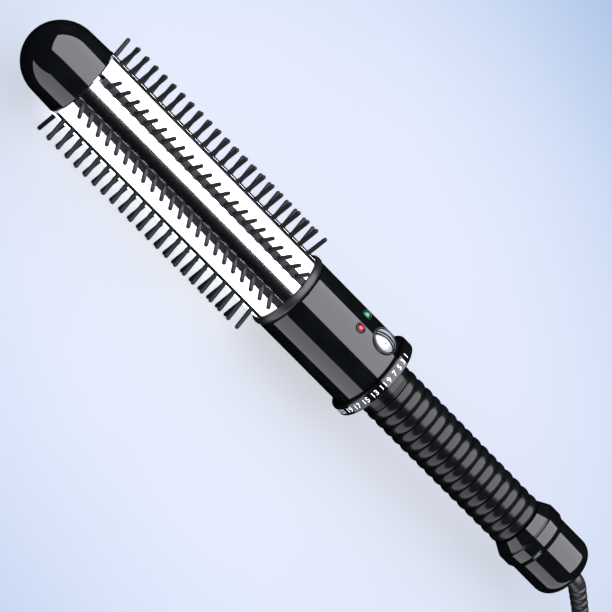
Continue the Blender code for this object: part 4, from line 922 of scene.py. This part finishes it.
class BRUSH_OT_rear(bpy.types.Operator):
    """Add the hub behind the grip and the rounded cap that holds the swivel"""
    bl_idname = "brush.rear"
    bl_label = "Hub and end cap"

    def execute(self, context):
        s = sizes()
        bore = 9.7 * MM
        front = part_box("rear_hub")[0].x
        hub_front, hub_back = front + 4.9 * MM, front + 9.9 * MM
        hub_end = CAP_FRONT - 0.3 * MM
        spigot = s.cap_radius - 2.3 * MM
        groove = 0.3 * MM
        edge = 0.35 * MM
        profile = [(front, bore), (front, s.grip_back - 0.1 * MM)]
        profile += [(hub_front - 0.9 * MM, s.hub_radius - 0.55 * MM)]
        profile += arc((hub_front - 0.45 * MM, s.hub_radius - 0.5 * MM), groove, 200, 340, 5)
        profile += arc((hub_front + edge, s.hub_radius - edge), edge, 180, 90, 6)
        profile += arc((hub_back - edge, s.hub_radius - edge), edge, 90, 40, 4)
        profile += [(hub_end - 0.5 * MM, s.cap_radius + 0.25 * MM), (hub_end, s.cap_radius - 0.1 * MM)]
        profile += [(hub_end, spigot), (hub_end + 4.4 * MM, spigot), (hub_end + 4.4 * MM, bore)]
        obj = turned("rear_ring", profile)
        finish(obj, "gloss_abs", "handle", "rear_hub", slot="gloss_black")
        cap_bore = s.cap_radius - 2.0 * MM
        floor = CAP_BACK - 3.0 * MM
        hole = 3.9 * MM
        lip = 0.4 * MM
        profile = [(CAP_FRONT, cap_bore)]
        profile += arc((CAP_FRONT + 0.3 * MM, s.cap_radius - 0.3 * MM), 0.3 * MM, 180, 90, 4)
        profile += arc((CAP_BACK - s.cap_corner, s.cap_radius - s.cap_corner), s.cap_corner, 90, 0, 24)
        profile += arc((CAP_BACK - lip, hole + lip), lip, 0, -90, 5)
        profile += [(floor, hole), (floor, cap_bore - 3 * MM), (floor - 3 * MM, cap_bore)]
        obj = turned("swivel_cap", profile)
        finish(obj, "gloss_abs", "handle", "end_cap", slot="gloss_black")
        return {"FINISHED"}


ELBOW_RADIUS, ELBOW_ANGLE, ELBOW_START = 8.0 * MM, math.radians(38), 1.5 * MM
BOOT_LENGTH = 24.0 * MM


def relief_frame(along):
    """The relief's centre line: straight out of the cap, round the elbow and down the boot."""
    elbow = CAP_BACK + ELBOW_START
    turn = min(max(along - elbow, 0) / ELBOW_RADIUS, ELBOW_ANGLE)
    rest = max(along - elbow - ELBOW_RADIUS * ELBOW_ANGLE, 0)
    forward = Vector((math.cos(turn), 0, -math.sin(turn)))
    up = Vector((math.sin(turn), 0, math.cos(turn)))
    point = Vector((min(along, elbow) + ELBOW_RADIUS * math.sin(turn), 0,
                    AXIS_Z - ELBOW_RADIUS * (1 - math.cos(turn)))) + forward * rest
    return point, forward, up


RELIEF_END = CAP_BACK + ELBOW_START + ELBOW_RADIUS * ELBOW_ANGLE + BOOT_LENGTH


class BRUSH_OT_relief(bpy.types.Operator):
    """Add the strain relief: a smooth elbow, then a tapered boot with rounded ribs"""
    bl_idname = "brush.relief"
    bl_label = "Strain relief"

    def execute(self, context):
        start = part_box("strain_relief")[0].x
        neck = 3.55 * MM
        boot = RELIEF_END - BOOT_LENGTH
        ribs, groove, bore, last_crest, plug_in = 6, 0.65 * MM, 2.65 * MM, 3.2 * MM, 1.5 * MM
        pitch = BOOT_LENGTH / (ribs + 0.5)
        profile = [(start, 0), (start, neck)]
        profile += [(start + (boot - start) * i / 12, neck) for i in range(1, 12)]
        for rib in range(ribs + 1):
            crest = neck + (last_crest - neck) * rib / ribs
            rib_start = boot + rib * pitch
            width = min(0.58 * pitch, RELIEF_END - rib_start)
            profile += [(rib_start - 0.3 * pitch, crest - groove), (rib_start - 0.08 * pitch, crest - groove)]
            corner = min(0.25 * MM, width / 2)
            profile += arc((rib_start + corner, crest - corner), corner, 180, 90, 3)
            profile += arc((rib_start + width - corner, crest - corner), corner, 90, 0, 3)
        profile += [(RELIEF_END, bore), (RELIEF_END - plug_in, bore), (RELIEF_END - plug_in, 0)]
        obj = turned("cord_relief", profile, SMALL_STEPS)
        for vertex in obj.data.vertices:
            point, _, up = relief_frame(vertex.co.x)
            rise = vertex.co.z - AXIS_Z
            vertex.co = point + up * rise + Vector((0, vertex.co.y, 0))
        finish(obj, "cord_pvc", "cord_end", "strain_relief", slot="satin_black", angle=50)
        return {"FINISHED"}


def smooth_route(route, spacing):
    """Evenly spread points on a smooth curve through the route's own points."""
    ends = [route[0] * 2 - route[1], *route, route[-1] * 2 - route[-2]]
    fine = []
    for a, b, c, d in zip(ends, ends[1:], ends[2:], ends[3:]):
        for i in range(12):
            t = i / 12
            fine.append(
                0.5 * (2 * b + (c - a) * t + (2 * a - 5 * b + 4 * c - d) * t**2
                       + (3 * b - a - 3 * c + d) * t**3)
            )
    fine.append(route[-1])
    lengths = [0.0]
    for a, b in zip(fine, fine[1:]):
        lengths.append(lengths[-1] + (b - a).length)
    count = round(lengths[-1] / spacing)
    points, at = [], 0
    for i in range(count + 1):
        target = lengths[-1] * i / count
        while at < len(fine) - 2 and lengths[at + 1] < target:
            at += 1
        share = (target - lengths[at]) / (lengths[at + 1] - lengths[at])
        points.append(fine[at].lerp(fine[at + 1], min(share, 1.0)))
    return points


HALF_RUN = 44.0 * MM
WAIST_REACH, WAIST_PULL, TIE_REACH = 26 * MM, 13.75 * MM, 11 * MM
OUTER, INNER = 21.9 * MM, 16.5 * MM
LAYERS = (2.6 * MM, 8.1 * MM, 13.6 * MM)
LANE_CHANGE, EARLY_CHANGE = (0.55, 1.1), (0.0, 0.5)  # parts of the way back, as in hank_route
CLIMB, HUMP_START, HUMP_SPAN = (0.05, 0.55), 0.52, 0.66
TURNS = (  # each turn's lane and layer, in the order in which the cord is wound
    (OUTER, 0), (INNER, 0), (INNER, 1), (OUTER, 1), (INNER, 2), (OUTER, 2),
)


def step(at, start, end):
    """0 before start, 1 after end, and a smooth rise between them."""
    t = min(max((at - start) / (end - start), 0.0), 1.0)
    return t * t * (3 - 2 * t)


def hank_point(side, x, radius, height, layer):
    """A point of a straight run: drawn in to the waist, and lifted a little where the tie passes under."""
    near = math.exp(-((x / WAIST_REACH) ** 2))
    lift = (1.15 * MM, 0.75 * MM, 0.3 * MM)[layer] * math.exp(-((x / TIE_REACH) ** 2))
    return Vector((TIE_X + x, side * (radius - WAIST_PULL * near), height + lift))


def hank_route():
    """The folded cord: each turn runs out, round the far fold, back and round the near fold."""
    points = []
    run_steps, fold_steps, hump = 12, 9, 5.0 * MM
    for turn, (radius, layer) in enumerate(TURNS):
        height = LAYERS[layer]
        last = turn == len(TURNS) - 1
        for i in range(run_steps):
            x = HALF_RUN * (2 * i / run_steps - 1)
            points.append(hank_point(-1, x, radius, height, layer))
        if last:
            points.append(hank_point(-1, HALF_RUN, radius, height, layer))
            return points
        for i in range(fold_steps):
            a = math.pi * (i / fold_steps - 0.5)
            points.append(
                Vector((TIE_X + HALF_RUN + radius * math.cos(a), radius * math.sin(a), height))
            )
        next_radius, next_layer = TURNS[turn + 1]
        crossing = turn == len(TURNS) - 2
        for i in range(run_steps + fold_steps):
            # at counts the way back: 0 to 1 along the run, then on round the near fold
            at = i / run_steps if i < run_steps else 1 + 0.55 * (i - run_steps) / fold_steps
            change = EARLY_CHANGE if turn == 2 else LANE_CHANGE
            lane = radius + (next_radius - radius) * step(at, *change)
            climb = height + (LAYERS[next_layer] - height) * step(at, *CLIMB)
            if crossing:
                climb += hump * math.sin(math.pi * min(max((at - HUMP_START) / HUMP_SPAN, 0), 1)) ** 2
            if i < run_steps:
                x = HALF_RUN * (1 - 2 * i / run_steps)
                points.append(hank_point(1, x, lane, climb, layer))
            else:
                a = math.pi * (0.5 + (i - run_steps) / fold_steps)
                points.append(
                    Vector((TIE_X - HALF_RUN + lane * math.cos(a), lane * math.sin(a), climb))
                )
    return points


def cord_route():
    """Out of the relief, down to the floor, out to the hank's first lane, round it and on to the plug."""
    end, forward, _ = relief_frame(RELIEF_END)
    exit_point = end + forward * 0.6 * MM
    floor = 2.7 * MM
    route = [exit_point, exit_point + forward * 2 * MM, exit_point + Vector((7 * MM, 0, -3.9 * MM))]
    for along, side in ((14, 0.6), (24, 4.2), (34, 11.5), (44, 18.6), (54, 21.9)):
        route.append(Vector((exit_point.x + along * MM, -side * MM, floor)))
    route += hank_route()
    plug = Vector((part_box("plug_body")[0].x - 0.3 * MM, -12 * MM, 7.6 * MM))
    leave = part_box("cord_hank")[1].x - 9.1 * MM
    top = LAYERS[2]
    route += [
        Vector((leave, -OUTER, top)), Vector((leave + 5 * MM, -OUTER - 0.1 * MM, top)),
        Vector((leave + 13 * MM, 1.2 * MM - OUTER, top - 0.8 * MM)),
        Vector(((leave + plug.x) / 2, (plug.y - OUTER) / 2, (top + plug.z) / 2)),
        plug - Vector((10 * MM, 0.9 * MM, -0.7 * MM)), plug,
    ]
    return exit_point, route


class BRUSH_OT_cord(bpy.types.Operator):
    """Add the mains cord in one piece, folded into a hank, with the tie round its waist"""
    bl_idname = "brush.cord"
    bl_label = "Cord"

    def execute(self, context):
        s = sizes()
        exit_point, route = cord_route()
        points = smooth_route(route, 3 * MM)
        curve = bpy.data.curves.new("mains_cord", "CURVE")
        curve.dimensions = "3D"
        curve.bevel_depth = s.cord_diameter / 2
        curve.bevel_resolution = 5
        curve.use_fill_caps = True
        spline = curve.splines.new("POLY")
        spline.points.add(len(points) - 1)
        for knot, point in zip(spline.points, points):
            knot.co = (*point, 1.0)
        spline.use_smooth = True
        cord = bpy.data.objects.new("mains_cord", curve)
        context.collection.objects.link(cord)
        finish(cord, "cord_pvc", "cord_end", "power_cord", "cord_hank", "plug_lead", slot="cord_black")
        tie = self.make_tie()
        return {"FINISHED"}

    def make_tie(self):
        """A strap round the waist: a rounded band with its end tucked flat on top."""
        low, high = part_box("cord_tie")
        corner = 1.6 * MM
        ring = []
        for y, z, start in (
            (high.y - corner, high.z - corner, 0), (low.y + corner, high.z - corner, 90),
            (low.y + corner, low.z + corner, 180), (high.y - corner, low.z + corner, 270),
        ):
            ring += arc((y, z), corner, start, start + 90, 6)
        outline = [Vector((low.x, y, z)) for y, z in ring]
        tie = draw("hank_tie", [*outline, outline[0]])
        bpy.ops.mesh.remove_doubles(threshold=FUSE)
        bpy.ops.mesh.extrude_region_move(TRANSFORM_OT_translate={"value": (high.x - low.x, 0, 0)})
        close_up()
        apply_modifier(tie, "SOLIDIFY", thickness=1.0 * MM, offset=-1.0, use_even_offset=True)
        soften(tie, 0.25 * MM)
        return finish(tie, "collar_nylon", "cord_end", "cord_tie", slot="satin_black", angle=40)


class BRUSH_OT_plug(bpy.types.Operator):
    """Add the moulded two-pin plug with its finger recesses, and its two drilled prongs"""
    bl_idname = "brush.plug"
    bl_label = "Plug"

    def execute(self, context):
        low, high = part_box("plug_body")
        centre = (low + high) / 2
        stations = (  # (from the cord's end, half width, half height)
            (0.0, 3.3, 3.3), (2.6, 3.5, 3.5), (3.2, 3.1, 3.1), (3.9, 3.1, 3.1), (4.5, 3.7, 3.7),
            (6.2, 3.8, 3.8), (6.8, 3.4, 3.4), (7.5, 3.4, 3.4), (8.1, 4.0, 4.0), (10.6, 4.3, 4.2),
            (12.5, 5.2, 4.9), (14.5, 7.6, 5.9), (17.0, 10.2, 6.8), (20.0, 11.5, 7.3), (23.0, 11.3, 7.2),
            (28.0, 11.0, 7.0), (32.0, 11.3, 7.2), (34.5, 12.0, 7.6), (36.2, 12.0, 7.6), (37.0, 11.4, 7.0),
        )
        clear_selection()
        bpy.ops.mesh.primitive_circle_add(vertices=SMALL_STEPS, radius=1.0, fill_type="NGON")
        plug = context.active_object
        plug.name = plug.data.name = "plug_moulding"
        bpy.ops.object.mode_set(mode="EDIT")
        for _ in stations[1:]:
            bpy.ops.mesh.extrude_region_move(TRANSFORM_OT_translate={"value": (0, 0, 1)})
        bpy.ops.object.mode_set(mode="OBJECT")
        for vertex in plug.data.vertices:
            along, wide, high_half = stations[round(vertex.co.z)]
            square = 1 - 0.5 * step(along, 9.0, 20.0)  # round at the cord, a rounded block at the prongs
            c, s = vertex.co.x, vertex.co.y
            vertex.co = (
                low.x + along * MM,
                centre.y + math.copysign(abs(c) ** square, c) * wide * MM,
                centre.z + math.copysign(abs(s) ** square, s) * high_half * MM,
            )
        bpy.ops.object.mode_set(mode="EDIT")
        close_up()
        finish(plug, "cord_pvc", "cord_end", "plug_body", slot="satin_black", angle=40)
        for line in ("live", "neutral"):
            self.make_prong(line)
        return {"FINISHED"}

    def make_prong(self, line):
        """A flat blade with a chamfered end and the hole that a socket's detent drops into."""
        low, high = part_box(f"plug_prong_{line}")
        tip, slope = 1.4 * MM, 1.4 * MM
        outline = [
            (low.x, low.z), (high.x - tip, low.z), (high.x, low.z + slope), (high.x, high.z - slope),
            (high.x - tip, high.z), (low.x, high.z),
        ]
        prong = prism(f"{line}_prong", [Vector((x, low.y, z)) for x, z in outline],
                      Vector((0, high.y - low.y, 0)))
        hole_x = high.x - 4.8 * MM
        middle = (low.z + high.z) / 2
        hole = turned(
            "hole", [(low.y - MM, 0), (low.y - MM, 1.5 * MM), (high.y + MM, 1.5 * MM), (high.y + MM, 0)],
            32, Vector((hole_x, 0, middle)), (0, 1, 0), (1, 0, 0),
        )
        cut(prong, hole)
        soften(prong, 0.15 * MM, angle=40)
        finish(prong, "nickel_plate", "cord_end", f"plug_prong_{line}", slot="brass")


class BRUSH_OT_frame_finishes(bpy.types.Operator):
    """Give the inner pieces of the frame their real materials"""
    bl_idname = "brush.frame_finishes"
    bl_label = "Inner pieces"

    def execute(self, context):
        for name, nodes in CAD_FINISHES.items():
            for node in nodes:
                mesh = frame["nodes"][node].data
                mesh.materials.clear()
                mesh.materials.append(material(name))
        return {"FINISHED"}


# ---------------------------------------------------------------- stage

TILT = math.radians(17.1)  # how far the tip's end is turned towards the camera
ROLL = math.radians(45.33)  # of the brush's axis in the picture
RISE = math.radians(45)  # of the camera above the floor
LENS, DISTANCE = 253.8, 1.635  # millimetres, metres


class BRUSH_OT_stage(bpy.types.Operator):
    """Add the paper floor, the lights and the camera"""
    bl_idname = "brush.stage"
    bl_label = "Stage"

    def execute(self, context):
        clear_selection()
        bpy.ops.mesh.primitive_grid_add(x_subdivisions=8, y_subdivisions=8, size=6.0)
        floor = context.active_object
        floor.name = floor.data.name = "paper_sweep"
        floor.data.materials.append(material("paper_floor"))
        floor.visible_glossy = False  # keeps the paper out of the gloss, as black cards would
        self.add_camera(context)
        # the two large lights, and two panels that are flagged off everything but the barrel
        barrel_only = self.only("barrel_only", bpy.data.objects["plated_barrel"])
        all_but_paper = self.only("all_but_paper", floor)
        all_but_paper.collection_objects[0].light_linking.link_state = "EXCLUDE"
        down, up = (0, 0, 0), (math.pi, 0, 0)
        # sizes in metres; a radiance of 1 is white in the picture
        for name, place, turn, wide, deep, radiance, receivers in (
            ("overhead_softbox", (-0.24, 0.008, AXIS_Z + 0.6), down, 1.88, 0.99, 5.2, all_but_paper),
            ("front_reflector", (0.31, -0.30, 1.5 * MM), up, 0.98, 0.535, 2.5, None),
            ("back_panel", (0.1, 1.0, 0.55), (math.radians(-60), 0, 0), 2.0, 1.1, 2.4, barrel_only),
            ("under_panel", (0.0, 0.0, 0.5 * MM), up, 0.5, 0.07, 3.0, barrel_only),
        ):
            self.add_light(name, place, turn, wide, deep, radiance, receivers)
        # the paper is lit by itself, with no shadows: a pale blue wash in watts per square metre,
        # and a warm pool round the brush in watts
        paper_only = self.only("paper_only", floor)
        wash = self.add_paper_light("paper_wash", "SUN", 2.4, (0.46, 0.72, 1.0), paper_only)
        wash.data.angle = math.radians(20)
        pool = self.add_paper_light("paper_pool", "SPOT", 38, (1.0, 0.74, 0.45), paper_only)
        pool.data.spot_size = math.radians(34)
        pool.data.spot_blend = 1.0
        world = bpy.data.worlds.new("studio")
        world.use_nodes = True
        background = world.node_tree.nodes["Background"]
        background.inputs["Color"].default_value = linear("#c8d2ee")
        background.inputs["Strength"].default_value = 1.2
        context.scene.world = world
        world.cycles_visibility.glossy = False  # fill light without a reflection
        context.scene.view_settings.view_transform = "Standard"
        return {"FINISHED"}

    def add_camera(self, context):
        """A long lens above and in front, rolled so that the brush lies along the picture's diagonal."""
        back = Vector((-math.sin(TILT), -math.cos(TILT) * math.cos(RISE), math.cos(TILT) * math.sin(RISE)))
        along = Vector((math.cos(TILT), -math.sin(TILT) * math.cos(RISE), math.sin(TILT) * math.sin(RISE)))
        over = Vector((0, math.sin(RISE), math.cos(RISE)))
        right = along * math.cos(ROLL) + over * math.sin(ROLL)
        up = over * math.cos(ROLL) - along * math.sin(ROLL)
        target = Vector((-2.0 * MM, 0, AXIS_Z)) + over * 0.7 * MM
        clear_selection()
        bpy.ops.object.camera_add()
        camera = context.active_object
        camera.name = "camera"
        camera.data.lens = LENS
        camera.data.sensor_width = 36
        camera.data.clip_start = 0.05
        place = Matrix((right, up, back)).transposed().to_4x4()
        place.translation = target + back * DISTANCE
        camera.matrix_world = place
        context.scene.camera = camera

    def only(self, name, obj):
        """A collection of one object, to link lights to."""
        made = bpy.data.collections.new(name)
        made.objects.link(obj)
        return made

    def add_paper_light(self, name, kind, energy, tint, paper_only):
        clear_selection()
        bpy.ops.object.light_add(type=kind, location=(0.005, 0.02, 1.0))
        light = bpy.context.active_object
        light.name = name
        light.data.energy = energy
        light.data.color = tint
        light.light_linking.receiver_collection = paper_only
        light.light_linking.blocker_collection = paper_only
        return light

    def add_light(self, name, place, turn, wide, deep, radiance, receivers):
        """A panel of the given radiance, slightly blue; with no receivers it lights everything."""
        clear_selection()
        bpy.ops.object.light_add(type="AREA", location=place, rotation=turn)
        light = bpy.context.active_object
        light.name = name
        light.data.shape = "RECTANGLE"
        light.data.size = wide
        light.data.size_y = deep
        light.data.energy = radiance * math.pi * wide * deep
        light.data.color = (0.93, 0.93, 1.0)
        light.visible_camera = False
        if receivers:
            light.light_linking.receiver_collection = receivers


PIECES = (
    BRUSH_OT_tip, BRUSH_OT_barrel, BRUSH_OT_bristles, BRUSH_OT_collar, BRUSH_OT_housing,
    BRUSH_OT_button, BRUSH_OT_indicators, BRUSH_OT_dial, BRUSH_OT_grip, BRUSH_OT_rear,
    BRUSH_OT_relief, BRUSH_OT_plug, BRUSH_OT_cord, BRUSH_OT_frame_finishes, BRUSH_OT_stage,
)


class BRUSH_PT_panel(bpy.types.Panel):
    """Lists the pieces of the brush, its sizes and its colours"""
    bl_label = "Curling brush"
    bl_idname = "BRUSH_PT_panel"
    bl_space_type = "VIEW_3D"
    bl_region_type = "UI"
    bl_category = "Curling brush"

    def draw(self, context):
        for piece in PIECES:
            self.layout.operator(piece.bl_idname)
        for group in (context.scene.brush_sizes, context.scene.brush_colours):
            box = self.layout.box()
            for name in group.__annotations__:
                box.prop(group, name)


CLASSES = (BrushSizes, BrushColours, *PIECES, BRUSH_PT_panel)


def register():
    for made in CLASSES:
        bpy.utils.register_class(made)
    bpy.types.Scene.brush_sizes = PointerProperty(type=BrushSizes)
    bpy.types.Scene.brush_colours = PointerProperty(type=BrushColours)


def unregister():
    del bpy.types.Scene.brush_sizes
    del bpy.types.Scene.brush_colours
    for made in reversed(CLASSES):
        bpy.utils.unregister_class(made)


def main():
    register()
    for piece in PIECES:
        group, name = piece.bl_idname.split(".")
        getattr(getattr(bpy.ops, group), name)()
    clear_selection()
    bpy.context.view_layer.update()


if __name__ == "__main__":
    main()
